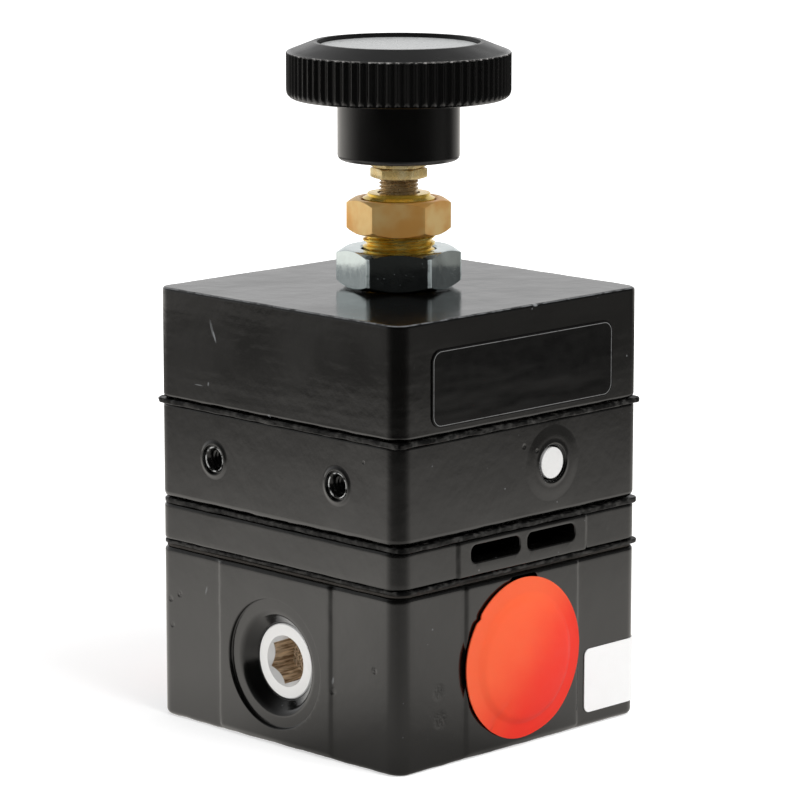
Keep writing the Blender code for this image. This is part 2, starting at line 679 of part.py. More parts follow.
def make_base(screw_holes, supply_upright, supply_low):
    block = body_block(0, BASE_HEIGHT, BASE_EDGE_ROUNDING, TOP_EDGE_ROUNDING)
    base = piece("base_body", block, BLACK_PAINT)
    pad_top = BASE_HEIGHT - PAD_SETBACK
    pads = []
    for name, width, depth in (
        ("pads_front_back", BASE_PAD_WIDTH, 2 * PAD_FACE),
        ("pads_left_right", 2 * PAD_FACE, BASE_PAD_WIDTH),
    ):
        outline = [(x * width / 2, y * depth / 2) for x, y in ((-1, -1), (1, -1), (1, 1), (-1, 1))]
        pads.append(tool(name, prism(outline, BASE_PAD_FOOT, pad_top)))
    combine(base, *pads, operation="UNION")
    plug_bore = BOTTOM_PLUG_RADIUS + FIT_CLEARANCE
    seat_bore = SEAT_BODY_RADIUS + FIT_CLEARANCE
    profile = [(0, -BEYOND), (plug_bore, -BEYOND), (plug_bore, PLUG_BORE_TOP)]
    profile += [(VALVE_CHAMBER_RADIUS, PLUG_BORE_TOP), (VALVE_CHAMBER_RADIUS, VALVE_CHAMBER_TOP)]
    profile += [(seat_bore, VALVE_CHAMBER_TOP), (seat_bore, RELAY_CHAMBER_FLOOR)]
    profile += [(CHAMBER_RADIUS, RELAY_CHAMBER_FLOOR), (CHAMBER_RADIUS, BASE_HEIGHT + BEYOND)]
    profile += [(0, BASE_HEIGHT + BEYOND)]
    bores = [tool("valve_bores", turned(profile)), supply_upright, supply_low]
    combine(base, *bores, *make_port_tools(), *make_gauge_port_tools(), make_pocket_tool(), *screw_holes)


def make_port_tools():
    """The main ports and their passages: one to the valve chamber, one up to the relay chamber."""
    end = PAD_FACE - PORT_DEPTH
    mouth = PAD_FACE - PORT_CHAMFER
    profile = [(0, end), (PORT_RADIUS, end), (PORT_RADIUS, mouth), (PORT_RADIUS + PORT_CHAMFER, PAD_FACE)]
    profile += [(PORT_RADIUS + PORT_CHAMFER, PAD_FACE + BEYOND), (0, PAD_FACE + BEYOND)]
    tools = [
        tool(face + "_port", onto_face(turned(profile), face, PORT_HEIGHT)) for face in ("front", "back")
    ]
    passage = cylinder(PORT_PASSAGE_RADIUS, 0, end + BEYOND, SMALL_SIDES)
    tools.append(tool("inlet_passage", onto_face(passage, "front", PORT_HEIGHT)))
    riser = cylinder(RISER_RADIUS, PORT_HEIGHT, RELAY_CHAMBER_FLOOR + BEYOND, SMALL_SIDES)
    riser_place = CHAMBER_RADIUS - RISER_EDGE_DISTANCE - RISER_RADIUS
    tools.append(tool("outlet_riser", riser, (0, riser_place, 0)))
    return tools


def make_gauge_port_tools():
    """The spotfaced gauge ports and the small risers that join them to the relay chamber."""
    bore = GAUGE_PLUG_RADIUS + FIT_CLEARANCE
    end = PAD_FACE - GAUGE_PORT_DEPTH
    floor = PAD_FACE - GAUGE_SPOTFACE_DEPTH
    profile = [(0, end), (bore, end), (bore, PAD_FACE - GAUGE_PLUG_SINK), (GAUGE_CONE_RADIUS, floor)]
    profile += [(GAUGE_SPOTFACE_RADIUS, floor), (GAUGE_SPOTFACE_RADIUS, PAD_FACE + BEYOND)]
    profile += [(0, PAD_FACE + BEYOND)]
    riser_place = CHAMBER_RADIUS - RISER_EDGE_DISTANCE - GAUGE_RISER_RADIUS
    tools = []
    for face, side in (("left", -1), ("right", 1)):
        tools.append(tool(face + "_gauge_port", onto_face(turned(profile), face, GAUGE_PORT_HEIGHT)))
        riser = cylinder(GAUGE_RISER_RADIUS, GAUGE_PORT_HEIGHT, RELAY_CHAMBER_FLOOR + BEYOND, SMALL_SIDES)
        tools.append(tool(face + "_riser", riser, (side * riser_place, 0, 0)))
    return tools


def make_pocket_tool():
    outline = rounded_rectangle(POCKET_WIDTH, POCKET_HEIGHT, POCKET_CORNER_RADIUS)
    centre = BASE_HEIGHT - POCKET_TOP_SETBACK - POCKET_HEIGHT / 2
    shape = prism(outline, PAD_FACE - POCKET_DEPTH, PAD_FACE + BEYOND)
    return tool("front_pocket", onto_face(shape, "front", centre))


def make_gauge_plugs():
    face_level = PAD_FACE - GAUGE_PLUG_SINK
    end = face_level - GAUGE_PLUG_LENGTH
    edge = GAUGE_PLUG_RADIUS - GAUGE_PLUG_CHAMFER
    profile = [(0, end), (edge, end), (GAUGE_PLUG_RADIUS, end + GAUGE_PLUG_CHAMFER)]
    profile += [(GAUGE_PLUG_RADIUS, face_level - GAUGE_PLUG_CHAMFER), (edge, face_level), (0, face_level)]
    for face in ("left", "right"):
        name = face + "_gauge_plug"
        plug = piece(name, onto_face(turned(profile), face, GAUGE_PORT_HEIGHT), NICKEL)
        levels = (face_level - GAUGE_SOCKET_DEPTH, face_level + BEYOND)
        socket = hexagon(GAUGE_SOCKET_FLATS, *levels, GAUGE_SOCKET_TURN)
        combine(plug, tool(name + "_socket", onto_face(socket, face, GAUGE_PORT_HEIGHT)))


def make_port_caps():
    """Domed caps with a hollow stem that pushes into the port. Each slides off along its axis."""
    stem = PORT_RADIUS - FIT_CLEARANCE
    hollow = stem - CAP_STEM_WALL
    under = CAP_STANDOFF
    rim_top = under + CAP_RIM_THICKNESS
    inside = under + CAP_DOME_HEIGHT / 2
    profile = [(0, inside), (hollow, inside), (hollow, -CAP_STEM_LENGTH)]
    profile += [(stem, -CAP_STEM_LENGTH), (stem, under), (CAP_RADIUS, under), (CAP_RADIUS, rim_top)]
    for share in DOME_SHARES:
        profile.append((CAP_RADIUS * share, rim_top + CAP_DOME_HEIGHT * (1 - share**2)))
    profile.append((0, rim_top + CAP_DOME_HEIGHT))
    for face, side in (("front", -1), ("back", 1)):
        place = (0, side * PAD_FACE, PORT_HEIGHT)
        cap = piece(face + "_port_cap", onto_face(turned(profile), face), RED_VINYL, place)
        group(face + "_cap_carrier", [cap], place)


def make_bottom_plug():
    groove_floor = BOTTOM_PLUG_RADIUS + FIT_CLEARANCE - 2 * SEAL_CLEARANCE - O_RING_THICKNESS
    groove_top = O_RING_LEVEL + O_RING_THICKNESS + SEAL_CLEARANCE
    groove_bottom = O_RING_LEVEL - SEAL_CLEARANCE
    pocket_floor = PLUG_TOP - SPRING_POCKET_DEPTH
    profile = [(0, BOTTOM_PLUG_SINK), (BOTTOM_PLUG_RADIUS, BOTTOM_PLUG_SINK)]
    profile += [(BOTTOM_PLUG_RADIUS, groove_bottom), (groove_floor, groove_bottom)]
    profile += [(groove_floor, groove_top), (BOTTOM_PLUG_RADIUS, groove_top)]
    profile += [(BOTTOM_PLUG_RADIUS, PLUG_TOP), (SPRING_POCKET_RADIUS, PLUG_TOP)]
    profile += [(SPRING_POCKET_RADIUS, pocket_floor), (0, pocket_floor)]
    plug = piece("bottom_plug", turned(profile, INNER_SIDES), BRASS)
    socket_top = BOTTOM_PLUG_SINK + BOTTOM_PLUG_SOCKET_DEPTH
    combine(plug, tool("bottom_plug_socket", hexagon(BOTTOM_PLUG_SOCKET_FLATS, 0, socket_top)))
    ring_radius = groove_floor + SEAL_CLEARANCE + O_RING_THICKNESS / 2
    profile = []
    reach = O_RING_THICKNESS / 2
    for i in range(O_RING_SIDES):
        angle = 2 * math.pi * i / O_RING_SIDES
        height = O_RING_LEVEL + reach + reach * math.sin(angle)
        profile.append((ring_radius + reach * math.cos(angle), height))
    piece("bottom_plug_o_ring", turned(profile, INNER_SIDES), BLACK_RUBBER)


def make_main_valve():
    """The seat, and the moving stem and holder with a rubber disc, pushed up by a spring."""
    lip_outer = SEAT_ORIFICE_RADIUS + SEAT_LIP_WIDTH
    seat_top = RELAY_CHAMBER_FLOOR - SEAT_TOP_SETBACK
    profile = [(SEAT_ORIFICE_RADIUS, SEAT_LIP_BOTTOM), (lip_outer, SEAT_LIP_BOTTOM)]
    profile += [(lip_outer, SEAT_FLANGE_BOTTOM), (SEAT_FLANGE_RADIUS, SEAT_FLANGE_BOTTOM)]
    profile += [(SEAT_FLANGE_RADIUS, SEAT_FLANGE_TOP), (SEAT_BODY_RADIUS, SEAT_FLANGE_TOP)]
    profile += [(SEAT_BODY_RADIUS, seat_top), (SEAT_ORIFICE_RADIUS, seat_top)]
    piece("valve_seat", turned(profile, INNER_SIDES), BRASS)

    tail_bottom = VALVE_HOLDER_BOTTOM - VALVE_TAIL_LENGTH
    tip_bottom = VALVE_TIP_TOP - VALVE_TIP_HEIGHT
    profile = [(0, tail_bottom), (VALVE_STEM_RADIUS, tail_bottom), (VALVE_STEM_RADIUS, VALVE_HOLDER_BOTTOM)]
    profile += [(VALVE_DISC_RADIUS, VALVE_HOLDER_BOTTOM), (VALVE_DISC_RADIUS, VALVE_HOLDER_TOP)]
    profile += [(VALVE_STEM_RADIUS, VALVE_HOLDER_TOP), (VALVE_STEM_RADIUS, tip_bottom)]
    profile += [(VALVE_TIP_RADIUS, tip_bottom + VALVE_TIP_HEIGHT / 3), (VALVE_STEM_RADIUS, VALVE_TIP_TOP)]
    profile += [(0, VALVE_TIP_TOP)]
    valve = piece("main_valve", turned(profile, INNER_SIDES), BRASS)
    bore = VALVE_STEM_RADIUS + FIT_CLEARANCE
    ring = tube(VALVE_DISC_RADIUS, bore, VALVE_DISC_BOTTOM, VALVE_DISC_TOP, INNER_SIDES)
    disc = piece("valve_disc", ring, BLACK_RUBBER)
    group("main_valve_carrier", [valve, disc])

    spring_bottom = PLUG_TOP - SPRING_POCKET_DEPTH + FIT_CLEARANCE
    spring_top = VALVE_HOLDER_BOTTOM - FIT_CLEARANCE
    sizes = (VALVE_SPRING_RADIUS, VALVE_SPRING_WIRE_RADIUS)
    coil("valve_spring", *sizes, spring_bottom, spring_top, VALVE_SPRING_TURNS, STEEL)


def make_sheets(screw_holes, supply_upright):
    """The gasket and the three diaphragms between the body's layers."""
    relay_width = BODY_WIDTH + 2 * RELAY_DIAPHRAGM_OVERHANG
    control_width = BODY_WIDTH + 2 * CONTROL_DIAPHRAGM_OVERHANG
    gasket_width = BODY_WIDTH - 2 * GASKET_SETBACK
    rows = (
        ("base_gasket", gasket_width, GASKET_BOTTOM, GASKET_TOP, CHAMBER_RADIUS, GASKET_FIBRE),
        (
            "lower_relay_diaphragm",
            relay_width,
            LOWER_DIAPHRAGM_BOTTOM,
            LOWER_DIAPHRAGM_TOP,
            HUB_BORE_RADIUS,
            BLACK_RUBBER,
        ),
        (
            "upper_relay_diaphragm",
            relay_width,
            UPPER_DIAPHRAGM_BOTTOM,
            UPPER_DIAPHRAGM_TOP,
            HUB_BORE_RADIUS,
            BLACK_RUBBER,
        ),
        (
            "control_diaphragm",
            control_width,
            CONTROL_DIAPHRAGM_BOTTOM,
            CONTROL_DIAPHRAGM_TOP,
            FLAPPER_BORE_RADIUS,
            BLACK_RUBBER,
        ),
    )
    for name, width, bottom, top, bore, finish in rows:
        corner = BODY_CORNER_RADIUS if name == "base_gasket" else SHEET_CORNER_RADIUS
        layer = piece(name, sheet(width, bottom, top, corner), finish)
        tools = [tool(name + "_opening", cylinder(bore, bottom - BEYOND, top + BEYOND, INNER_SIDES))]
        if top < UPPER_RING_TOP:
            tools.append(supply_upright)
        combine(layer, *tools, *screw_holes)


def make_exhaust_ring(screw_holes, supply_upright):
    block = body_block(EXHAUST_RING_BOTTOM, EXHAUST_RING_TOP, TOP_EDGE_ROUNDING, TOP_EDGE_ROUNDING)
    ring = piece("exhaust_ring", block, BLACK_PAINT)
    pad_outline = rounded_rectangle(EXHAUST_PAD_WIDTH, EXHAUST_RING_HEIGHT - 2 * PAD_SETBACK, PAD_SETBACK)
    middle = EXHAUST_RING_BOTTOM + EXHAUST_RING_HEIGHT / 2
    pad = onto_face(prism(pad_outline, HALF_WIDTH - BEYOND, PAD_FACE), "front", middle)
    combine(ring, tool("exhaust_pad", pad), operation="UNION")
    opening = cylinder(CHAMBER_RADIUS, EXHAUST_RING_BOTTOM - BEYOND, EXHAUST_RING_TOP + BEYOND)
    tools = [tool("exhaust_opening", opening), supply_upright]
    for name, side in (("left_slot", -1), ("right_slot", 1)):
        outline = rounded_rectangle(SLOT_LENGTH, SLOT_HEIGHT, SLOT_CORNER_RADIUS)
        slot = prism(outline, CHAMBER_RADIUS / 2, PAD_FACE + BEYOND)
        across = side * (SLOT_SPACING + SLOT_LENGTH) / 2
        tools.append(tool(name, onto_face(slot, "front", EXHAUST_RING_BOTTOM + SLOT_LEVEL, across)))
    combine(ring, *tools, *screw_holes)


def make_relay():
    """The sliding stack between the two relay diaphragms, with the exhaust bore up its middle."""
    hub_bottom = EXHAUST_SEAT_BOTTOM + EXHAUST_SEAT_FLOOR + FIT_CLEARANCE
    body_bottom = LOWER_PLATE_TOP + FIT_CLEARANCE
    body_top = UPPER_PLATE_BOTTOM - FIT_CLEARANCE
    middle = (body_bottom + body_top) / 2
    stem_top = RELAY_NUT_TOP + FIT_CLEARANCE
    bore_top = middle + EXHAUST_CROSS_RADIUS / 2
    profile = [(EXHAUST_BORE_RADIUS, hub_bottom), (HUB_STEM_RADIUS, hub_bottom)]
    profile += [(HUB_STEM_RADIUS, body_bottom), (HUB_RADIUS, body_bottom)]
    profile += [(HUB_RADIUS, body_top), (HUB_STEM_RADIUS, body_top)]
    profile += [(HUB_STEM_RADIUS, stem_top), (0, stem_top), (0, bore_top), (EXHAUST_BORE_RADIUS, bore_top)]
    hub = piece("relay_hub", turned(profile, INNER_SIDES), ALUMINIUM)
    cross = cylinder(EXHAUST_CROSS_RADIUS, 0, 2 * (HUB_RADIUS + BEYOND), HOLE_SIDES)
    combine(hub, tool("exhaust_cross_hole", along_x(cross, -(HUB_RADIUS + BEYOND), middle, 0)))

    inner_floor = EXHAUST_SEAT_BOTTOM + EXHAUST_SEAT_FLOOR
    profile = [(EXHAUST_BORE_RADIUS, EXHAUST_SEAT_BOTTOM), (EXHAUST_SEAT_RADIUS, EXHAUST_SEAT_BOTTOM)]
    profile += [(EXHAUST_SEAT_RADIUS, EXHAUST_SEAT_TOP), (HUB_BORE_RADIUS, EXHAUST_SEAT_TOP)]
    profile += [(HUB_BORE_RADIUS, inner_floor), (EXHAUST_BORE_RADIUS, inner_floor)]
    moving = [hub, piece("exhaust_seat", turned(profile, INNER_SIDES), BRASS)]
    for name, bottom, top in (
        ("lower_relay_plate", LOWER_PLATE_BOTTOM, LOWER_PLATE_TOP),
        ("upper_relay_plate", UPPER_PLATE_BOTTOM, UPPER_PLATE_TOP),
        ("relay_top_plate", TOP_PLATE_BOTTOM, TOP_PLATE_TOP),
    ):
        plate = tube(RELAY_PLATE_RADIUS, HUB_BORE_RADIUS, bottom, top, INNER_SIDES)
        moving.append(piece(name, plate, ALUMINIUM))
    levels = (RELAY_NUT_BOTTOM, RELAY_NUT_TOP)
    moving.append(nut("relay_nut", RELAY_NUT_FLATS, *levels, HUB_BORE_RADIUS, 0, STEEL))
    group("relay_carrier", moving)


def make_upper_ring(screw_holes, supply_upright, supply_high):
    block = body_block(UPPER_RING_BOTTOM, UPPER_RING_TOP, RING_EDGE_ROUNDING, TOP_EDGE_ROUNDING)
    ring = piece("upper_ring", block, BLACK_PAINT)
    boss = cylinder(SEALING_BOSS_RADIUS, HALF_WIDTH - BEYOND, HALF_WIDTH + SEALING_BOSS_HEIGHT)
    boss = onto_face(boss, "front", CROSS_DRILLING_HEIGHT, CROSS_DRILLING_OFFSET)
    combine(ring, tool("sealing_boss", boss), operation="UNION")
    nozzle_bore = NOZZLE_STEM_RADIUS + FIT_CLEARANCE
    profile = [(0, UPPER_RING_BOTTOM - BEYOND), (CHAMBER_RADIUS, UPPER_RING_BOTTOM - BEYOND)]
    profile += [(CHAMBER_RADIUS, SIGNAL_CHAMBER_TOP), (nozzle_bore, SIGNAL_CHAMBER_TOP)]
    profile += [(nozzle_bore, NOZZLE_CHAMBER_FLOOR), (CHAMBER_RADIUS, NOZZLE_CHAMBER_FLOOR)]
    profile += [(CHAMBER_RADIUS, UPPER_RING_TOP + BEYOND), (0, UPPER_RING_TOP + BEYOND)]
    tools = [tool("ring_chambers", turned(profile)), supply_upright, supply_high]
    restrictor_bore = RESTRICTOR_RADIUS + FIT_CLEARANCE
    levels = (SIGNAL_CHAMBER_TOP - BEYOND, NOZZLE_CHAMBER_FLOOR + BEYOND)
    bleed = cylinder(restrictor_bore, *levels, SMALL_SIDES)
    tools.append(tool("restrictor_bore", bleed, (-RESTRICTOR_OFFSET, 0, 0)))

    plug_bore = SEALING_PLUG_RADIUS + FIT_CLEARANCE
    face = HALF_WIDTH + SEALING_BOSS_HEIGHT
    bore_end = face - SEALING_SINK - SEALING_PLUG_LENGTH - FIT_CLEARANCE
    start = -DRILLING_OVERRUN
    profile = [(0, start), (CROSS_DRILLING_RADIUS, start), (CROSS_DRILLING_RADIUS, bore_end)]
    profile += [(plug_bore, bore_end), (plug_bore, face - SEALING_COUNTERSINK)]
    profile += [(plug_bore + SEALING_COUNTERSINK, face)]
    profile += [(plug_bore + SEALING_COUNTERSINK, face + BEYOND), (0, face + BEYOND)]
    drilling = onto_face(turned(profile, NUT_SIDES), "front", CROSS_DRILLING_HEIGHT, CROSS_DRILLING_OFFSET)
    feed = cylinder(SUPPLY_CROSS_RADIUS, 0, CROSS_DRILLING_OFFSET, SMALL_SIDES)
    feed = along_x(feed, DRILLING_OVERRUN, CROSS_DRILLING_HEIGHT, 0)
    tools += [tool("cross_drilling", drilling), tool("nozzle_feed", feed)]

    height = UPPER_RING_BOTTOM + MOUNTING_HOLE_LEVEL
    rim = MOUNTING_HOLE_RADIUS + MOUNTING_HOLE_RIM
    end = HALF_WIDTH - MOUNTING_HOLE_DEPTH
    profile = [(0, end), (MOUNTING_HOLE_RADIUS, end)]
    profile += [(MOUNTING_HOLE_RADIUS, HALF_WIDTH - MOUNTING_HOLE_RIM)]
    profile += [(rim, HALF_WIDTH), (rim, HALF_WIDTH + BEYOND), (0, HALF_WIDTH + BEYOND)]
    for name, side in (("mounting_hole_1", -1), ("mounting_hole_2", 1)):
        hole = onto_face(turned(profile, SMALL_SIDES), "left", height, side * MOUNTING_HOLE_SPACING / 2)
        tools.append(tool(name, hole))
    combine(ring, *tools, *screw_holes)


def make_sealing_plug():
    face = HALF_WIDTH + SEALING_BOSS_HEIGHT - SEALING_SINK
    shape = cylinder(SEALING_PLUG_RADIUS, face - SEALING_PLUG_LENGTH, face, INNER_SIDES)
    shape = onto_face(shape, "front", CROSS_DRILLING_HEIGHT, CROSS_DRILLING_OFFSET)
    piece("sealing_plug", shape, ALUMINIUM)


def make_nozzle():
    stem_bottom = SIGNAL_CHAMBER_TOP + FIT_CLEARANCE
    flange_bottom = NOZZLE_CHAMBER_FLOOR + FIT_CLEARANCE
    flange_top = flange_bottom + NOZZLE_FLANGE_THICKNESS
    profile = [(NOZZLE_BORE_RADIUS, stem_bottom), (NOZZLE_STEM_RADIUS, stem_bottom)]
    profile += [(NOZZLE_STEM_RADIUS, flange_bottom), (NOZZLE_FLANGE_RADIUS, flange_bottom)]
    profile += [(NOZZLE_FLANGE_RADIUS, flange_top), (NOZZLE_TIP_RADIUS, flange_top)]
    profile += [(NOZZLE_TIP_RADIUS, NOZZLE_TOP), (NOZZLE_BORE_RADIUS, NOZZLE_TOP)]
    piece("pilot_nozzle", turned(profile, SMALL_SIDES), BRASS)
    jet_top = NOZZLE_CHAMBER_FLOOR - FIT_CLEARANCE
    jet = tube(RESTRICTOR_RADIUS, RESTRICTOR_BORE_RADIUS, stem_bottom, jet_top, SMALL_SIDES)
    piece("bleed_restrictor", jet, BRASS, (-RESTRICTOR_OFFSET, 0, 0))


def make_control_stack():
    """What the control diaphragm carries: the flapper bolt, its washer, the spring plate and a nut."""
    shank_top = CONTROL_NUT_TOP + FIT_CLEARANCE
    profile = [(0, FLAPPER_BOTTOM), (FLAPPER_RADIUS, FLAPPER_BOTTOM), (FLAPPER_RADIUS, FLAPPER_TOP)]
    profile += [(FLAPPER_SHANK_RADIUS, FLAPPER_TOP), (FLAPPER_SHANK_RADIUS, shank_top), (0, shank_top)]
    bolt = piece("flapper_bolt", turned(profile, SMALL_SIDES), BRASS)
    washer = tube(FLAPPER_WASHER_RADIUS, FLAPPER_BORE_RADIUS, WASHER_BOTTOM, WASHER_TOP, INNER_SIDES)
    profile = [(FLAPPER_BORE_RADIUS, CONTROL_PLATE_BOTTOM), (CONTROL_PLATE_RADIUS, CONTROL_PLATE_BOTTOM)]
    profile += [(CONTROL_PLATE_RADIUS, CONTROL_PLATE_TOP), (SPRING_BOSS_RADIUS, CONTROL_PLATE_TOP)]
    profile += [(SPRING_BOSS_RADIUS, CONTROL_BOSS_TOP), (FLAPPER_BORE_RADIUS, CONTROL_BOSS_TOP)]
    plate = piece("control_plate", turned(profile, INNER_SIDES), ALUMINIUM)
    moving = [bolt, piece("flapper_washer", washer, ALUMINIUM), plate]
    levels = (CONTROL_NUT_BOTTOM, CONTROL_NUT_TOP)
    moving.append(nut("control_nut", CONTROL_NUT_FLATS, *levels, FLAPPER_BORE_RADIUS, 0, STEEL))
    group("control_carrier", moving)


def make_spring_and_rest():
    """The regulating spring, the rest that bears on it and the ball that the spindle pushes."""
    spring_bottom = CONTROL_PLATE_TOP + FIT_CLEARANCE
    spring_top = REST_BOTTOM - FIT_CLEARANCE
    sizes = (SPRING_RADIUS, SPRING_WIRE_RADIUS)
    coil("regulating_spring", *sizes, spring_bottom, spring_top, SPRING_TURNS, STEEL)
    pocket = BALL_RADIUS + FIT_CLEARANCE
    boss_bottom = REST_BOTTOM - REST_BOSS_HEIGHT
    profile = [(0, boss_bottom), (SPRING_BOSS_RADIUS, boss_bottom), (SPRING_BOSS_RADIUS, REST_BOTTOM)]
    profile += [(REST_RADIUS, REST_BOTTOM), (REST_RADIUS, REST_TOP), (pocket, REST_TOP)]
    profile += [(pocket, BALL_POCKET_FLOOR), (0, BALL_POCKET_FLOOR)]
    rest = piece("upper_spring_rest", turned(profile, INNER_SIDES), STEEL)
    profile = []
    for step in range(BALL_STEPS + 1):
        angle = (step / BALL_STEPS - 0.5) * math.pi
        radius = BALL_RADIUS * math.cos(angle) if 0 < step < BALL_STEPS else 0
        profile.append((radius, BALL_CENTRE + BALL_RADIUS * math.sin(angle)))
    ball = piece("thrust_ball", turned(profile, SMALL_SIDES), STEEL)
    group("spring_rest_carrier", [rest, ball])


def make_bonnet(screw_holes):
    block = body_block(BONNET_BOTTOM, BONNET_TOP, BONNET_EDGE_ROUNDING, TOP_EDGE_ROUNDING)
    bonnet = piece("bonnet", block, BLACK_PAINT)
    bore = BUSHING_RADIUS + FIT_CLEARANCE
    profile = [(0, BONNET_BOTTOM - BEYOND), (BONNET_CAVITY_RADIUS, BONNET_BOTTOM - BEYOND)]
    profile += [(BONNET_CAVITY_RADIUS, BONNET_CEILING), (bore, BONNET_CEILING), (bore, BONNET_TOP + BEYOND)]
    profile += [(0, BONNET_TOP + BEYOND)]
    combine(bonnet, tool("bonnet_cavity", turned(profile)), *screw_holes)


def make_bushing_and_nuts():
    collar_bottom = BUSHING_TOP - BUSHING_COLLAR_HEIGHT
    shoulder = collar_bottom - (BUSHING_RADIUS - BUSHING_COLLAR_RADIUS) / 2
    profile = [(SPINDLE_BORE_RADIUS, BUSHING_BOTTOM), (BUSHING_RADIUS, BUSHING_BOTTOM)]
    profile += [(BUSHING_RADIUS, shoulder)]
    profile += [(BUSHING_COLLAR_RADIUS, collar_bottom), (BUSHING_COLLAR_RADIUS, BUSHING_TOP)]
    profile += [(SPINDLE_BORE_RADIUS, BUSHING_TOP)]
    piece("bonnet_bushing", turned(profile), BRASS)
    bore = BUSHING_RADIUS + FIT_CLEARANCE
    nut("bonnet_lock_nut", LOCK_NUT_FLATS, LOCK_NUT_BOTTOM, LOCK_NUT_TOP, bore, NUT_TURN, ZINC)
    nut("panel_nut", PANEL_NUT_FLATS, PANEL_NUT_BOTTOM, PANEL_NUT_TOP, bore, NUT_TURN, BRASS)


def make_spindle():
    top = INSERT_TOP - FIT_CLEARANCE
    edge = SPINDLE_RADIUS - SPINDLE_CHAMFER
    profile = [(0, SPINDLE_BOTTOM), (edge, SPINDLE_BOTTOM)]
    profile += [(SPINDLE_RADIUS, SPINDLE_BOTTOM + SPINDLE_CHAMFER), (SPINDLE_RADIUS, top - SPINDLE_CHAMFER)]
    profile += [(edge, top), (0, top)]
    return piece("adjusting_spindle", turned(profile, INNER_SIDES), BRONZE)


def make_knob_insert():
    """The brass insert moulded into the knob. Its hexagonal end shows below the hub."""
    head = hexagon(INSERT_FLATS, INSERT_BOTTOM, INSERT_HEX_TOP, INSERT_HEX_TURN)
    insert = piece("knob_insert", head, BRASS)
    middle = INSERT_HEX_TOP - INSERT_HEX_HEIGHT / 2
    stem = cylinder(INSERT_RADIUS - FIT_CLEARANCE, middle, INSERT_TOP, NUT_SIDES)
    combine(insert, tool("insert_stem", stem), operation="UNION")
    bore = cylinder(SPINDLE_BORE_RADIUS, INSERT_BOTTOM - BEYOND, INSERT_TOP + BEYOND, INNER_SIDES)
    combine(insert, tool("insert_bore", bore))
    return insert


def make_knob():
    """The hub, the fluted rim and the coned top with its shallow recess."""
    few = FLUTE_COUNT // 4
    some = FLUTE_COUNT
    many = 2 * FLUTE_COUNT
    bore_top = INSERT_TOP + FIT_CLEARANCE
    recess_top = KNOB_BOTTOM + KNOB_HUB_RECESS_DEPTH
    hub_edge = KNOB_HUB_RADIUS - KNOB_HUB_ROUNDING
    rim_edge = KNOB_RIM_RADIUS - KNOB_RIM_ROUNDING
    slant = KNOB_RIM_ROUNDING * math.sin(45 * DEGREE)
    profile = [(0, bore_top, few), (INSERT_RADIUS, bore_top, few), (INSERT_RADIUS, recess_top, few)]
    profile += [(KNOB_HUB_RECESS_RADIUS, recess_top, few), (KNOB_HUB_RECESS_RADIUS, KNOB_BOTTOM, few)]
    profile += [(hub_edge, KNOB_BOTTOM, few), (KNOB_HUB_RADIUS, KNOB_BOTTOM + KNOB_HUB_ROUNDING, few)]
    profile += [(KNOB_HUB_RADIUS, RIM_BOTTOM - KNOB_HUB_ROUNDING, few)]
    profile += [(KNOB_HUB_RADIUS + KNOB_HUB_ROUNDING, RIM_BOTTOM, few), (rim_edge, RIM_BOTTOM, some)]
    profile += [(rim_edge + slant, RIM_BOTTOM + KNOB_RIM_ROUNDING - slant, some)]
    profile += [(KNOB_RIM_RADIUS, RIM_BOTTOM + KNOB_RIM_ROUNDING, many, FLUTE_DEPTH)]
    profile += [(KNOB_RIM_RADIUS, RIM_TOP, many, FLUTE_DEPTH)]
    profile += [(KNOB_RIDGE_RADIUS, KNOB_TOP, some), (RECESS_RADIUS, KNOB_TOP, some)]
    profile += [(RECESS_RADIUS, RECESS_FLOOR, some), (0, RECESS_FLOOR)]
    knob = piece("knob", turned(profile), BLACK_PHENOLIC)
    disc_bottom = RECESS_FLOOR + FIT_CLEARANCE
    shape = cylinder(RECESS_RADIUS - FIT_CLEARANCE, disc_bottom, disc_bottom + DISC_THICKNESS, some)
    return knob, piece("knob_disc", shape, GREY_DISC)


def make_adjuster():
    """Everything that turns with the knob."""
    knob, disc = make_knob()
    levels = (KNOB_NUT_BOTTOM, KNOB_NUT_TOP)
    lock = nut("knob_lock_nut", KNOB_NUT_FLATS, *levels, SPINDLE_BORE_RADIUS, KNOB_NUT_TURN, BRASS)
    group("adjuster_carrier", [knob, disc, make_knob_insert(), lock, make_spindle()])


def make_label():
    outline = rounded_rectangle(LABEL_WIDTH, LABEL_HEIGHT, LABEL_CORNER_RADIUS)
    back = HALF_WIDTH + LAYER_CLEARANCE
    middle = BONNET_BOTTOM + LABEL_LEVEL + LABEL_HEIGHT / 2
    shape = onto_face(prism(outline, back, back + LABEL_THICKNESS), "front", middle)
    piece("front_label", shape, LABEL_FOIL)


def sticker_path(distance):
    """Points on the front face, round the right corner and onto the right face, this far out."""
    centre = HALF_WIDTH - BODY_CORNER_RADIUS
    radius = BODY_CORNER_RADIUS + distance
    points = [(STICKER_START, -HALF_WIDTH - distance)]
    for step in range(CORNER_STEPS + 1):
        angle = (step / CORNER_STEPS - 1) * math.pi / 2
        points.append((centre + radius * math.cos(angle), -centre + radius * math.sin(angle)))
    points.append((HALF_WIDTH + distance, -centre + STICKER_WRAP))
    return points


def make_sticker():
    outer = sticker_path(LAYER_CLEARANCE + STICKER_THICKNESS)
    inner = sticker_path(LAYER_CLEARANCE)
    bm = prism(outer + inner[::-1], STICKER_BOTTOM, STICKER_BOTTOM + STICKER_HEIGHT)
    piece("corner_sticker", bm, WHITE_PAPER)


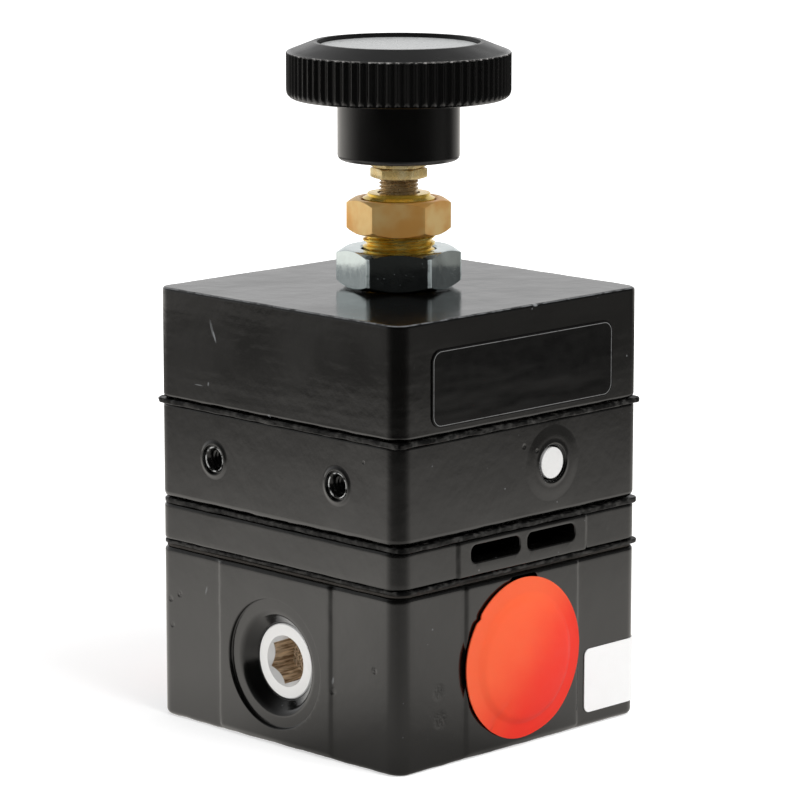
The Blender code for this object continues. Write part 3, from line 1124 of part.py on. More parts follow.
def main():
    clear_scene()
    screw_holes = make_screw_hole_tools()
    supply_upright, supply_low, supply_high = make_supply_tools()
    make_base(screw_holes, supply_upright, supply_low)
    make_gauge_plugs()
    make_port_caps()
    make_bottom_plug()
    make_main_valve()
    make_sheets(screw_holes, supply_upright)
    make_exhaust_ring(screw_holes, supply_upright)
    make_relay()
    make_upper_ring(screw_holes, supply_upright, supply_high)
    make_sealing_plug()
    make_nozzle()
    make_control_stack()
    make_spring_and_rest()
    make_bonnet(screw_holes)
    make_bushing_and_nuts()
    make_adjuster()
    make_body_screws()
    make_label()
    make_sticker()


main()
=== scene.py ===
"""The looks of a precision air pressure regulator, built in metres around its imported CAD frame.

+Z is up. The front faces -Y and carries the label, the exhaust slots and the inlet port.
The side with the two mounting holes faces -X.
"""

import math

import bpy
from mathutils import Matrix, Vector, noise


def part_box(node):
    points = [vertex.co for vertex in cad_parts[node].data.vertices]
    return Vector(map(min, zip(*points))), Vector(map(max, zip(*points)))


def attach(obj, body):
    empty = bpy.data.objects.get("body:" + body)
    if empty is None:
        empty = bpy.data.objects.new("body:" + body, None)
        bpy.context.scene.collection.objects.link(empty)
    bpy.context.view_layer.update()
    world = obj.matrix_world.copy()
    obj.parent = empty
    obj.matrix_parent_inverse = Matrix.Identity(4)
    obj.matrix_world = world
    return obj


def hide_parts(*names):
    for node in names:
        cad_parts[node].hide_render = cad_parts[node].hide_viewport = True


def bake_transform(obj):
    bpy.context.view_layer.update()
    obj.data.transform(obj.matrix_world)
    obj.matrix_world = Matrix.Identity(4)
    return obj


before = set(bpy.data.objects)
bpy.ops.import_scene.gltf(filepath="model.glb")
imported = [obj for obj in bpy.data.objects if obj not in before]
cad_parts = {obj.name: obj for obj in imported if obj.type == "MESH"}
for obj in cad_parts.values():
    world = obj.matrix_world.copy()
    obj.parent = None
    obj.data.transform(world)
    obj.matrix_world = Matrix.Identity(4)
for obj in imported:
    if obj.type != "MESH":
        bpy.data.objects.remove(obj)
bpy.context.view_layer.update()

DEGREE = math.pi / 180
MM = 0.001


def span(node):
    """Lowest and highest level of a CAD node."""
    low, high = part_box(node)
    return low.z, high.z


# Widths and levels of the larger parts, from the frame
HALF_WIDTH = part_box("bonnet")[1].x
PAD_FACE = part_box("base_body")[1].x
BASE_BOTTOM, BASE_TOP = span("base_body")
EXHAUST_BOTTOM, EXHAUST_TOP = span("exhaust_ring")
RING_BOTTOM, RING_TOP = span("upper_ring")
BONNET_BOTTOM, BONNET_TOP = span("bonnet")
BUSHING_BOTTOM, BUSHING_TOP = span("bonnet_bushing")
INSERT_BOTTOM, INSERT_TOP = span("knob_insert")
KNOB_BOTTOM, KNOB_TOP = span("knob")

# Rounding of the body's edges, and how they wander
CORNER_RADIUS = 3.0 * MM
BASE_ROUNDING = 1.0 * MM
BASE_TOP_ROUNDING = 0.7 * MM
EXHAUST_ROUNDING = 0.5 * MM
RING_ROUNDING = 1.2 * MM
RING_TOP_ROUNDING = 0.4 * MM
BONNET_ROUNDING = 0.8 * MM
TOP_ROUNDING = 0.6 * MM
LIP_ROUNDING = 0.3 * MM
EDGE_WANDER = 0.45
EDGE_SPACING = 1.2 * MM

# How fast the wander of edges changes, per metre
EDGE_NOISE = (280, 700)
PAD_NOISE = 400
SHEET_NOISE = (350, 1500, 260)

# Raised pads on the faces, and how far their edges slope
PAD_HEIGHT = PAD_FACE - HALF_WIDTH
PAD_SLOPE = 1.0 * MM
PAD_WANDER = 0.15 * MM
PAD_STEP = 0.9 * MM
PAD_OVERRUN = 0.6 * MM
BASE_PAD_HALF = 14.0 * MM
BASE_PAD_FOOT = 0.9 * MM
EXHAUST_PAD_HALF = 16.0 * MM

# Sheets between the layers
CONTROL_CORNER_RADIUS = 1.6 * MM
RELAY_CORNER_RADIUS = 2.4 * MM
RELAY_SHEET_WIDTH = 60.7 * MM
RELAY_SHEET_OFFSET = 0.25 * MM
SHEET_FLAT = 1.5 * MM
SHEET_SPACING = 0.8 * MM
SHEET_SECTORS = 6
SHEET_STEPS = 10
SECTOR_STEPS = 12
SHEET_GAP = 0.02 * MM
RIM_GAP = 0.2 * MM
RELAY_MIDDLE = 15.2 * MM
CONTROL_MIDDLE = 12.2 * MM
HUB_BORE = 4.3 * MM
FLAPPER_BORE = 2.3 * MM

# Chambers and bores
CHAMBER_RADIUS = 22.0 * MM
RELAY_FLOOR = 27.3 * MM
SEAT_BORE = 5.5 * MM
VALVE_CHAMBER_RADIUS = 7.0 * MM
VALVE_CHAMBER_TOP = 19.0 * MM
PLUG_BORE = 10.0 * MM
PLUG_BORE_TOP = 8.0 * MM
SIGNAL_TOP = 46.3 * MM
NOZZLE_FLOOR = 51.6 * MM
NOZZLE_BORE = 3.0 * MM
RESTRICTOR_BORE = 1.8 * MM
RESTRICTOR_OFFSET = 12.0 * MM
CAVITY_RADIUS = 17.5 * MM
CAVITY_TOP = 73.2 * MM
BUSHING_BORE = 6.65 * MM
RISER_PLACE = 18.5 * MM
RISER_RADIUS = 2.0 * MM
GAUGE_RISER_PLACE = 19.0 * MM
GAUGE_RISER_RADIUS = 1.5 * MM

# Screws from the underside
SCREW_PLACE = 23.6 * MM
SCREW_BORE = 2.3 * MM
SCREW_BORE_TOP = 69.3 * MM
SCREW_HEAD_BORE = 3.8 * MM
SCREW_SHOULDER = 5.0 * MM
SCREW_HEAD_RADIUS = 3.5 * MM
SCREW_HEAD_TOP = 4.7 * MM
SCREW_SHANK_RADIUS = 2.0 * MM
SCREW_SOCKET_FLATS = 3.0 * MM
SCREW_SOCKET_DEPTH = 2.0 * MM
SCREW_TURN = 25.0

# Main ports
PORT_LEVEL = 15.3 * MM
PORT_RADIUS = 5.95 * MM
PORT_DEPTH = 14.35 * MM
PORT_MOUTH = 1.25 * MM
PORT_PITCH = 1.41 * MM
PASSAGE_RADIUS = 3.0 * MM

# Gauge ports and plugs
GAUGE_LEVEL = 14.5 * MM
GAUGE_DEPTH = 13.5 * MM
SPOTFACE_RADIUS = 11.4 * MM
SPOTFACE_DEPTH = 0.65 * MM
CONE_RADIUS = 8.9 * MM
CONE_ROUNDING = 1.8 * MM
SEAT_ROUNDING = 0.6 * MM
GAUGE_BORE = 6.8 * MM
PLUG_RADIUS = 6.7 * MM
PLUG_SINK = 2.75 * MM
PLUG_LENGTH = 9.0 * MM
PLUG_CHAMFER = 0.2 * MM
SOCKET_FLATS = 7.4 * MM
SOCKET_DEPTH = 5.5 * MM
SOCKET_TURN = 22.0
SOCKET_MOUTH = 4.55 * MM
SOCKET_MOUTH_REACH = 1.1 * MM
SOCKET_MOUTH_DEPTH = 1.3 * MM

# Port caps
CAP_RADIUS = 14.2 * MM
CAP_STANDOFF = 0.15 * MM
CAP_RIM = 0.55 * MM
CAP_DOME = 1.5 * MM
CAP_DOME_RADIUS = 11.8 * MM
CAP_DOME_STEPS = 24
CAP_STEP = 0.4 * MM
CAP_OFF_CENTRE = 0.75 * MM
CAP_WANDER = 0.012
CAP_LEAN = 130 * DEGREE
CAP_CREASE = 232 * DEGREE
CAP_NICK = 141 * DEGREE
CAP_CREASE_DEPTH = 0.25 * MM
CAP_NICK_DEPTH = 0.45 * MM
CAP_STEM_RADIUS = 5.65 * MM
CAP_STEM_WALL = 0.9 * MM
CAP_STEM_LENGTH = 5.0 * MM

# Pocket, slots and holes in the faces
POCKET_WIDTH = 6.6 * MM
POCKET_HEIGHT = 4.0 * MM
POCKET_TOP_GAP = 0.45 * MM
POCKET_DEPTH = 3.0 * MM
POCKET_RADIUS = 0.8 * MM
SLOT_LENGTH = 12.0 * MM
SLOT_HEIGHT = 3.0 * MM
SLOT_PLACE = 6.95 * MM
SLOT_LEVEL = 3.9 * MM
SLOT_RADIUS = 1.2 * MM
HOLE_PLACE = 15.4 * MM
HOLE_LEVEL = 8.7 * MM
HOLE_RADIUS = 1.85 * MM
HOLE_CHAMFER = 0.25 * MM
HOLE_RIDGE = 2.15 * MM
HOLE_GROOVE = 2.65 * MM
HOLE_GROOVE_DEPTH = 0.35 * MM
HOLE_DEPTH = 9.0 * MM
HOLE_PITCH = 0.8 * MM
HOLE_BOSS_RADIUS = 3.9 * MM
HOLE_BOSS_HEIGHT = 0.06 * MM
BORE_RIM_HEIGHT = 0.12 * MM
BORE_RIM_WIDTH = 0.35 * MM
BOSS_SLOPE = 1.4 * MM
BOSS_STEPS = 36

# Sealed cross drilling
SEAL_PLACE = 7.4 * MM
SEAL_LEVEL = 9.3 * MM
SEAL_RADIUS = 2.75 * MM
SEAL_LENGTH = 6.0 * MM
SEAL_BORE = 3.05 * MM
SEAL_SINK = 0.1 * MM
SEAL_COUNTERSINK = 0.5 * MM
SEAL_BOSS_RADIUS = 7.2 * MM
SEAL_BOSS_HEIGHT = 0.12 * MM

# Bottom plug
BOTTOM_PLUG_RADIUS = 9.7 * MM
BOTTOM_SOCKET_FLATS = 8.0 * MM
BOTTOM_SOCKET_DEPTH = 3.0 * MM
BOTTOM_DISH_RADIUS = 4.6 * MM
BOTTOM_DISH_DEPTH = 1.5 * MM
O_RING_THICKNESS = 1.6 * MM

# Springs
SPRING_RADIUS = 8.6 * MM
SPRING_WIRE = 1.0 * MM
SPRING_TURNS = 3
VALVE_SPRING_RADIUS = 3.6 * MM
VALVE_SPRING_WIRE = 0.4 * MM
VALVE_SPRING_TURNS = 4
SPRING_STEPS = 36
WIRE_SIDES = 12

# Nuts, bushing and spindle
LOCK_NUT_FLATS = 19.05 * MM
LOCK_NUT_ROUNDING = 0.25 * MM
PANEL_NUT_FLATS = 15.9 * MM
NUT_TURN = 15.0
NUT_ROUNDING = 0.15 * MM
NUT_SLANT = 30 * DEGREE
SMALL_NUT_FLATS = 8.7 * MM
SMALL_NUT_TURN = 10.0
SMALL_NUT_SLANT = 12 * DEGREE
INSERT_FLATS = 8.4 * MM
INSERT_TURN = 17.0
INSERT_HEX_HEIGHT = 1.25 * MM
INSERT_RADIUS = 4.3 * MM
BUSHING_RADIUS = 6.35 * MM
BUSHING_PITCH = 1.27 * MM
COLLAR_RADIUS = 5.5 * MM
COLLAR_HEIGHT = 0.5 * MM
LEAD_CHAMFER = 0.3 * MM
SPINDLE_BORE = 3.75 * MM
SPINDLE_RADIUS = 3.45 * MM
SPINDLE_PITCH = 0.635 * MM
SPINDLE_CHAMFER = 0.4 * MM
THREAD_SHARE = 0.55

# Knob
HUB_RADIUS = 10.7 * MM
HUB_HEIGHT = 10.8 * MM
HUB_ROUNDING = 1.0 * MM
HUB_RECESS_RADIUS = 8.2 * MM
HUB_RECESS_DEPTH = 0.7 * MM
INSERT_BORE = 4.6 * MM
RIM_RADIUS = 19.6 * MM
RIM_HEIGHT = 8.0 * MM
RIM_ROUNDING = 1.4 * MM
RIM_TOP = KNOB_BOTTOM + HUB_HEIGHT + RIM_HEIGHT
RIDGE_RADIUS = 15.0 * MM
RECESS_RADIUS = 14.2 * MM
RECESS_DEPTH = 2.1 * MM
FLUTES = 77
FLUTE_STEPS = 8
FLUTE_DEPTH = 0.42 * MM

# Label and sticker
LABEL_WIDTH = 44.8 * MM
LABEL_HEIGHT = 13.4 * MM
LABEL_RADIUS = 2.2 * MM
LABEL_LEVEL = 58.9 * MM + LABEL_HEIGHT / 2
LABEL_GAP = 0.05 * MM
LABEL_THICKNESS = 0.2 * MM
LABEL_SOFT = 0.08 * MM
STICKER_START = 15.9 * MM
STICKER_WRAP = 3.0 * MM
STICKER_BOTTOM = 2.6 * MM
STICKER_HEIGHT = 11.5 * MM
STICKER_THICKNESS = 0.15 * MM
STICKER_RADIUS = 1.3 * MM

# Small pale marks in the paint, in mm: place, size, turn and strength
MARKS = (
    ((-30.15, 15.0, 70.2), (1, 0.3, 1.6), -0.4, 0.8),
    ((-30.15, 15.6, 71.4), (1, 0.4, 2.0), -0.3, 0.35),
    ((-30.15, 19.1, 61.0), (1, 1.4, 0.14), 0.0, 0.5),
    ((-30.15, 16.6, 61.5), (1, 0.3, 0.5), 0.2, 0.5),
    ((-30.15, 1.3, 57.9), (1, 0.5, 0.5), 0.0, 0.5),
    ((-30.15, 17.6, 24.5), (1, 0.3, 1.0), 0.3, 0.35),
    ((-30.15, -14.4, 14.2), (1, 0.3, 0.9), 0.2, 0.35),
    ((3.0, -30.15, 77.1), (0.8, 1, 0.4), 0.0, 0.8),
)

# Small dents under the paint, in mm: place and size
DENTS = (
    ((-30.15, 27.0, 21.5), 0.8),
    ((-30.15, 24.6, 22.7), 0.8),
    ((-30.15, 26.6, 16.8), 0.7),
    ((-30.15, -14.4, 12.4), 0.9),
    ((-30.15, -24.4, 17.8), 0.8),
    ((-30.15, -21.9, 53.3), 0.4),
    ((0.3, -30.15, 52.8), 0.6),
    ((3.4, -30.15, 51.6), 0.5),
    ((-20.5, -30.15, 13.3), 1.8),
    ((-20.2, -30.15, 8.4), 2.0),
)

# How many steps round shapes are divided into
SIDES = 96
SMALL_SIDES = 48
CORNER_STEPS = 10
EDGE_STEPS = 5
ARC_STEPS = 5
THREAD_ROWS = 8
HEXAGON_CORNER_STEPS = 3
NUT_STEPS = 40
O_RING_SIDES = 16
RIM_STEPS = 6
STICKER_STEPS = 40
STICKER_CORNER_STEPS = 6

# Edges sharper than this stay sharp, and tools reach this far past what they cut
SHARP_ANGLE = 35 * DEGREE
BEYOND = 1.0 * MM

# Degrees from the front to each side of the body, anticlockwise from above
FACE_ANGLES = {"front": 0, "right": 90, "back": 180, "left": 270}

# Camera at the photograph's viewing angle
CAMERA_AZIMUTH = -44.92 * DEGREE
CAMERA_ELEVATION = 10.71 * DEGREE
CAMERA_DISTANCE = 0.6997
CAMERA_TARGET = Vector((0, 0, 0.05904))
CAMERA_LENS = 178.76
CAMERA_SHIFT = (0.0016, -0.0153)


# Meshes from rings and profiles

def rise(value, low, high):
    """0 below low, 1 above high, and a smooth step between."""
    share = min(max((value - low) / (high - low), 0), 1)
    return share * share * (3 - 2 * share)


def quarter():
    """1 - cosine and 1 - sine at even steps of a quarter turn."""
    turns = [step / EDGE_STEPS * math.pi / 2 for step in range(EDGE_STEPS + 1)]
    return [(1 - math.cos(turn), 1 - math.sin(turn)) for turn in turns]


def skin(name, rings, closed=False):
    """A closed mesh over rings of equal length. A closed skin joins its last ring to its first."""
    points = []
    starts = []
    for ring in rings:
        starts.append(len(points))
        points += [tuple(point) for point in ring]
    faces = []
    last = len(rings) - 1
    for low, high in [(i, i + 1) for i in range(last)] + [(last, 0)] * closed:
        count = max(len(rings[low]), len(rings[high]))
        for i in range(count):
            j = (i + 1) % count
            face = [starts[low] + i % len(rings[low]), starts[low] + j % len(rings[low])]
            face += [starts[high] + j % len(rings[high]), starts[high] + i % len(rings[high])]
            faces.append(list(dict.fromkeys(face)))
    if not closed:
        ends = list(range(len(rings[0])))[::-1], list(range(starts[-1], len(points)))
        faces += [end for end in ends if len(end) > 2]
    mesh = bpy.data.meshes.new(name)
    mesh.from_pydata(points, [], faces)
    mesh.validate()
    obj = bpy.data.objects.new(name, mesh)
    bpy.context.scene.collection.objects.link(obj)
    volume = 0
    mesh.calc_loop_triangles()
    for triangle in mesh.loop_triangles:
        a, b, c = (mesh.vertices[i].co for i in triangle.vertices)
        volume += a.dot(b.cross(c))
    if volume < 0:
        mesh.flip_normals()
    return obj


def rounded(profile, steps=ARC_STEPS, closed=False):
    """A line of points, where a third number is the rounding of its corner."""
    line = []
    count = len(profile)
    for i, (x, y, *own) in enumerate(profile):
        if not own or (not closed and i in (0, count - 1)):
            line.append((x, y))
            continue
        here = Vector((x, y))
        before = (Vector(profile[i - 1][:2]) - here).normalized()
        after = (Vector(profile[(i + 1) % count][:2]) - here).normalized()
        half = before.angle(after) / 2
        centre = here + (before + after).normalized() * own[0] / math.sin(half)
        first = here + before * own[0] / math.tan(half) - centre
        last = here + after * own[0] / math.tan(half) - centre
        sweep = math.pi - 2 * half
        for step in range(steps + 1):
            share = step / steps
            arm = (first * math.sin((1 - share) * sweep) + last * math.sin(share * sweep)) / math.sin(sweep)
            line.append(tuple(centre + arm))
    return line


def divided(line, longest):
    """A closed line with its long stretches cut into equal steps."""
    result = []
    for start, end in zip(line, line[1:] + line[:1]):
        start, end = Vector(start), Vector(end)
        steps = max(1, math.ceil((end - start).length / longest))
        result += [tuple(start.lerp(end, step / steps)) for step in range(steps)]
    return result


def lathe(name, profile, sides=SIDES, shape=None):
    """A profile of (radius, height) points turned about Z, from axis to axis or as a closed line.

    shape(radius, height, angle) may give other values for both at each angle.
    """
    rings = []
    last = None
    for radius, height in profile:
        if last and math.dist(last, (radius, height)) < 1e-7:
            continue
        last = (radius, height)
        ring = []
        for i in range(1 if radius == 0 else sides):
            angle = 2 * math.pi * i / sides
            reach, level = shape(radius, height, angle) if shape else last
            ring.append((reach * math.cos(angle), reach * math.sin(angle), level))
        rings.append(ring)
    return skin(name, rings, closed=profile[0][0] > 0)


def turned(name, line, sides=SIDES):
    """A lathe from a line that may round its corners."""
    return lathe(name, rounded(line), sides)


def stepped(start, *steps):
    """The profile of a bore up from a level. Each step is its radius and the level where it ends."""
    line = [(0, start)]
    for radius, end in steps:
        line += [(radius, line[-1][1]), (radius, end)]
    return line + [(0, line[-1][1])]


def cylinder(name, radius, bottom, top, sides=SMALL_SIDES):
    return lathe(name, stepped(bottom, (radius, top)), sides)


def prism(name, outline, bottom, top):
    return skin(name, [[(x, y, z) for x, y in outline] for z in (bottom, top)])


def rounded_rectangle(width, height, radius):
    """An outline about the origin, anticlockwise, with its round corners as arcs."""
    outline = []
    for corner, (sign_x, sign_y) in enumerate(((1, 1), (-1, 1), (-1, -1), (1, -1))):
        for step in range(CORNER_STEPS + 1):
            angle = (corner + step / CORNER_STEPS) * math.pi / 2
            x = sign_x * (width / 2 - radius) + radius * math.cos(angle)
            y = sign_y * (height / 2 - radius) + radius * math.sin(angle)
            outline.append((x, y))
    return outline


def moved(obj, matrix):
    obj.data.transform(matrix)
    return obj


def shifted(obj, x=0.0, y=0.0, z=0.0):
    return moved(obj, Matrix.Translation((x, y, z)))


def onto_face(obj, face, height, across=0.0):
    """Turns a shape made about +Z so that it points out of a side of the body."""
    turn = Matrix.Rotation(FACE_ANGLES[face] * DEGREE, 4, "Z") @ Matrix.Rotation(90 * DEGREE, 4, "X")
    return moved(obj, Matrix.Translation((0, 0, height)) @ turn @ Matrix.Translation((across, 0, 0)))


def combine(target, tools, operation="DIFFERENCE"):
    """Cuts a piece by all of its tools, or joins them to it, and removes the tools."""
    together = bpy.data.collections.new(target.name + "_tools")
    for other in tools:
        together.objects.link(other)
    modifier = target.modifiers.new("tools", "BOOLEAN")
    modifier.operation = operation
    modifier.solver = "EXACT"
    modifier.operand_type = "COLLECTION"
    modifier.collection = together
    graph = bpy.context.evaluated_depsgraph_get()
    mesh = bpy.data.meshes.new_from_object(target.evaluated_get(graph))
    target.modifiers.clear()
    target.data = mesh
    bpy.data.collections.remove(together)
    for other in tools:
        bpy.data.objects.remove(other)
    return target


def dressed(obj, material, body, slot, *nodes):
    """Shades a piece smooth between its sharp edges and sets it on its body in place of its CAD nodes."""
    obj.data.materials.clear()
    obj.data.materials.append(material)
    obj.data.shade_smooth()
    obj.data.set_sharp_from_angle(angle=SHARP_ANGLE)
    modifier = obj.modifiers.new("normals", "WEIGHTED_NORMAL")
    modifier.keep_sharp = True
    modifier.weight = 100
    if body:
        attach(obj, body)
    if nodes:
        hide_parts(*nodes)


# The body's layers

def inset_at(height, bottom, top, low_rounding, high_rounding):
    """How far a block's rounded ends lie inside its side at a height."""
    for distance, rounding in ((height - bottom, low_rounding), (top - height, high_rounding)):
        if distance < rounding:
            return rounding - math.sqrt(max(rounding**2 - (rounding - distance) ** 2, 0))
    return 0.0


def around(*values):
    """Places across each of these slopes, for the points that shape it."""
    return [value + PAD_SLOPE * share for value in values for share in (-0.5, -0.25, 0, 0.25, 0.5)]


def slope(distance):
    """0 outside a pad's sloping edge, 1 inside it."""
    return rise(distance, -PAD_SLOPE / 2, PAD_SLOPE / 2)


def square_outline(inset, marks):
    """The body's outline, anticlockwise: each side's marks, then its round corner."""
    half = HALF_WIDTH - inset
    radius = CORNER_RADIUS - inset
    centre = half - radius
    side = [(mark, -half) for mark in marks]
    for step in range(1, CORNER_STEPS):
        angle = (step / CORNER_STEPS - 1) * math.pi / 2
        side.append((centre + radius * math.cos(angle), -centre + radius * math.sin(angle)))
    outline = []
    for face, angle in FACE_ANGLES.items():
        turn = Matrix.Rotation(angle * DEGREE, 2)
        outline += [(face, point[0], turn @ Vector(point), turn @ Vector((0, -1))) for point in side]
    return outline


def worn_edge(point, z, inset):
    """A point of a rounded end, moved in or out a little so that the edge wanders as a casting's does."""
    straight = HALF_WIDTH - CORNER_RADIUS
    core = Vector([max(-straight, min(straight, value)) for value in point])
    coarse, fine = (noise.noise(Vector((*point, z)) * share) for share in EDGE_NOISE)
    return point - (point - core).normalized() * inset * EDGE_WANDER * (coarse + 0.6 * fine)


def block(name, bottom, top, low_rounding, high_rounding, pads=()):
    """A layer of the body. Each pad is (faces, half width, lowest level, highest level)."""
    straight = HALF_WIDTH - CORNER_RADIUS
    count = math.ceil(2 * straight / EDGE_SPACING)
    marks = [straight * (2 * i / count - 1) for i in range(count + 1)]
    levels = []
    for share, _ in quarter():
        levels += [bottom + low_rounding * share, top - high_rounding * share]
    for _, half, low, high in pads:
        marks += around(-half, half)
        levels += around(low, high)
        levels += [low + PAD_STEP * i for i in range(int((high - low) / PAD_STEP))]
    rings = []
    for z in sorted({round(min(max(z, bottom), top), 7) for z in levels}):
        inset = inset_at(z, bottom, top, low_rounding, high_rounding)
        ring = []
        for face, across, point, out in square_outline(inset, sorted(set(marks))):
            reach = 0.0
            for faces, half, low, high in pads:
                if face in faces:
                    place = Vector((FACE_ANGLES[face], math.copysign(1, across), z * PAD_NOISE))
                    sides = slope(half + PAD_WANDER * noise.noise(place) - abs(across))
                    reach = PAD_HEIGHT * sides * (slope(z - low) * slope(high - z))
            ring.append((*(worn_edge(point, z, inset) + out * reach), z))
        rings.append(ring)
    return skin(name, rings)


def screw_bores(bottom, top):
    """Tools for the four long screws' bores. Below the shoulder they are wide enough for the heads."""
    profile = stepped(bottom, (SCREW_BORE, top))
    if bottom < SCREW_SHOULDER:
        profile = [(0, bottom), (SCREW_HEAD_BORE + BEYOND, bottom)]
        profile.append((SCREW_HEAD_BORE + LIP_ROUNDING, BASE_BOTTOM))
        profile += stepped(LIP_ROUNDING, (SCREW_HEAD_BORE, SCREW_SHOULDER), (SCREW_BORE, top))[1:]
    places = (-SCREW_PLACE, SCREW_PLACE)
    return [shifted(lathe("screw_bore", profile, SMALL_SIDES), x, y) for x in places for y in places]


def lip(radius, face, rounding):
    """The end of a bore's profile: a rounded lip in a face, and what follows to the axis."""
    line = [(radius + rounding * out, face - rounding * below) for out, below in quarter()]
    return line + [(radius + rounding, face + BEYOND), (0, face + BEYOND)]


def threads(radius, depth, pitch, start, end):
    """A tapped bore's profile from the axis up: grooves between two levels."""
    line = [(0, start)]
    for i in range(int((end - start) / pitch)):
        level = start + i * pitch
        line += [(radius - depth, level + pitch * 0.1), (radius, level + pitch * 0.4)]
        line += [(radius, level + pitch * 0.6), (radius - depth, level + pitch * 0.9)]
    return line + [(radius, end)]


def rounded_slot(name, width, height, radius, start, rounding=LIP_ROUNDING):
    """A tool for a slot with round corners and a rounded lip, up to a pad's face."""
    levels = [(0, start)] + [(rounding * out, PAD_FACE - rounding * below) for out, below in quarter()]
    rings = []
    for growth, level in levels + [(rounding, PAD_FACE + BEYOND)]:
        outline = rounded_rectangle(width + 2 * growth, height + 2 * growth, radius + growth)
        rings.append([(x, y, level) for x, y in outline])
    return skin(name, rings)


def port_tool():
    """A tapped bore with a chamfered mouth, pointing along +Z."""
    mouth = PORT_RADIUS + PORT_MOUTH
    profile = threads(PORT_RADIUS, 0.5 * PORT_PITCH, PORT_PITCH, PAD_FACE - PORT_DEPTH, PAD_FACE - PORT_MOUTH)
    profile += [(mouth, PAD_FACE), (mouth, PAD_FACE + BEYOND), (0, PAD_FACE + BEYOND)]
    return lathe("port", profile)


def gauge_tool():
    """A spotface, a cone and a bore for the plug, pointing along +Z."""
    end = PAD_FACE - GAUGE_DEPTH
    floor = PAD_FACE - SPOTFACE_DEPTH
    line = [(0, end), (GAUGE_BORE, end), (GAUGE_BORE, PAD_FACE - PLUG_SINK, SEAT_ROUNDING)]
    line += [(CONE_RADIUS, floor, CONE_ROUNDING), (SPOTFACE_RADIUS, floor, 0.2 * MM)]
    line.append((SPOTFACE_RADIUS, PAD_FACE))
    return lathe("gauge_port", rounded(line)[:-1] + lip(SPOTFACE_RADIUS, PAD_FACE, 0.25 * MM))


def make_base(paint):
    pads = [(tuple(FACE_ANGLES), BASE_PAD_HALF, BASE_PAD_FOOT, BASE_TOP + PAD_OVERRUN)]
    base = block("base", BASE_BOTTOM, BASE_TOP, BASE_ROUNDING, BASE_TOP_ROUNDING, pads)
    high = BASE_TOP + BEYOND
    mouth = PLUG_BORE + LIP_ROUNDING
    bores = stepped(LIP_ROUNDING, (PLUG_BORE, PLUG_BORE_TOP), (VALVE_CHAMBER_RADIUS, VALVE_CHAMBER_TOP),
                    (SEAT_BORE, RELAY_FLOOR), (CHAMBER_RADIUS, high))
    tools = [lathe("base_bores", [(0, -BEYOND), (mouth, -BEYOND), (mouth, 0)] + bores[1:])]
    tools += screw_bores(-BEYOND, high)
    tools += [onto_face(port_tool(), face, PORT_LEVEL) for face in ("front", "back")]
    passage = cylinder("passage", PASSAGE_RADIUS, 0, PAD_FACE - PORT_DEPTH + BEYOND)
    tools.append(onto_face(passage, "front", PORT_LEVEL))
    tools.append(shifted(cylinder("riser", RISER_RADIUS, PORT_LEVEL, RELAY_FLOOR + BEYOND), 0, RISER_PLACE))
    for face, side in (("left", -1), ("right", 1)):
        tools.append(onto_face(gauge_tool(), face, GAUGE_LEVEL))
        riser = cylinder("riser", GAUGE_RISER_RADIUS, GAUGE_LEVEL, RELAY_FLOOR + BEYOND)
        tools.append(shifted(riser, side * GAUGE_RISER_PLACE))
    sizes = (POCKET_WIDTH, POCKET_HEIGHT, POCKET_RADIUS, PAD_FACE - POCKET_DEPTH, LIP_ROUNDING / 2)
    level = BASE_TOP - POCKET_TOP_GAP - POCKET_HEIGHT / 2
    tools.append(onto_face(rounded_slot("pocket", *sizes), "front", level))
    dressed(combine(base, tools), paint, "root", "body_paint", "base_body")


def make_exhaust_ring(paint):
    pads = [(("front",), EXHAUST_PAD_HALF, EXHAUST_BOTTOM - PAD_OVERRUN, EXHAUST_TOP + PAD_OVERRUN)]
    ring = block("exhaust_layer", EXHAUST_BOTTOM, EXHAUST_TOP, EXHAUST_ROUNDING, EXHAUST_ROUNDING, pads)
    low, high = EXHAUST_BOTTOM - BEYOND, EXHAUST_TOP + BEYOND
    tools = [cylinder("opening", CHAMBER_RADIUS, low, high, SIDES)] + screw_bores(low, high)
    for side in (-1, 1):
        slot = rounded_slot("slot", SLOT_LENGTH, SLOT_HEIGHT, SLOT_RADIUS, CHAMBER_RADIUS / 2)
        tools.append(onto_face(slot, "front", EXHAUST_BOTTOM + SLOT_LEVEL, side * SLOT_PLACE))
    dressed(combine(ring, tools), paint, "root", "body_paint", "exhaust_ring")


def boss(name, radius, height, rim, soft=BOSS_SLOPE):
    """A low boss with a soft edge and a soft rim round its bore, pointing along +Z out of a side."""
    sunk = 0.01 * MM
    line = [(0, HALF_WIDTH - BEYOND), (radius, HALF_WIDTH - BEYOND)]
    for step in range(BOSS_STEPS):
        reach = radius * (1 - step / BOSS_STEPS)
        level = HALF_WIDTH - sunk + (height + sunk) * rise(radius - reach, 0, soft)
        line.append((reach, level + BORE_RIM_HEIGHT * math.exp(-(((reach - rim) / BORE_RIM_WIDTH) ** 2))))
    return lathe(name, line + [(0, HALF_WIDTH + height)])


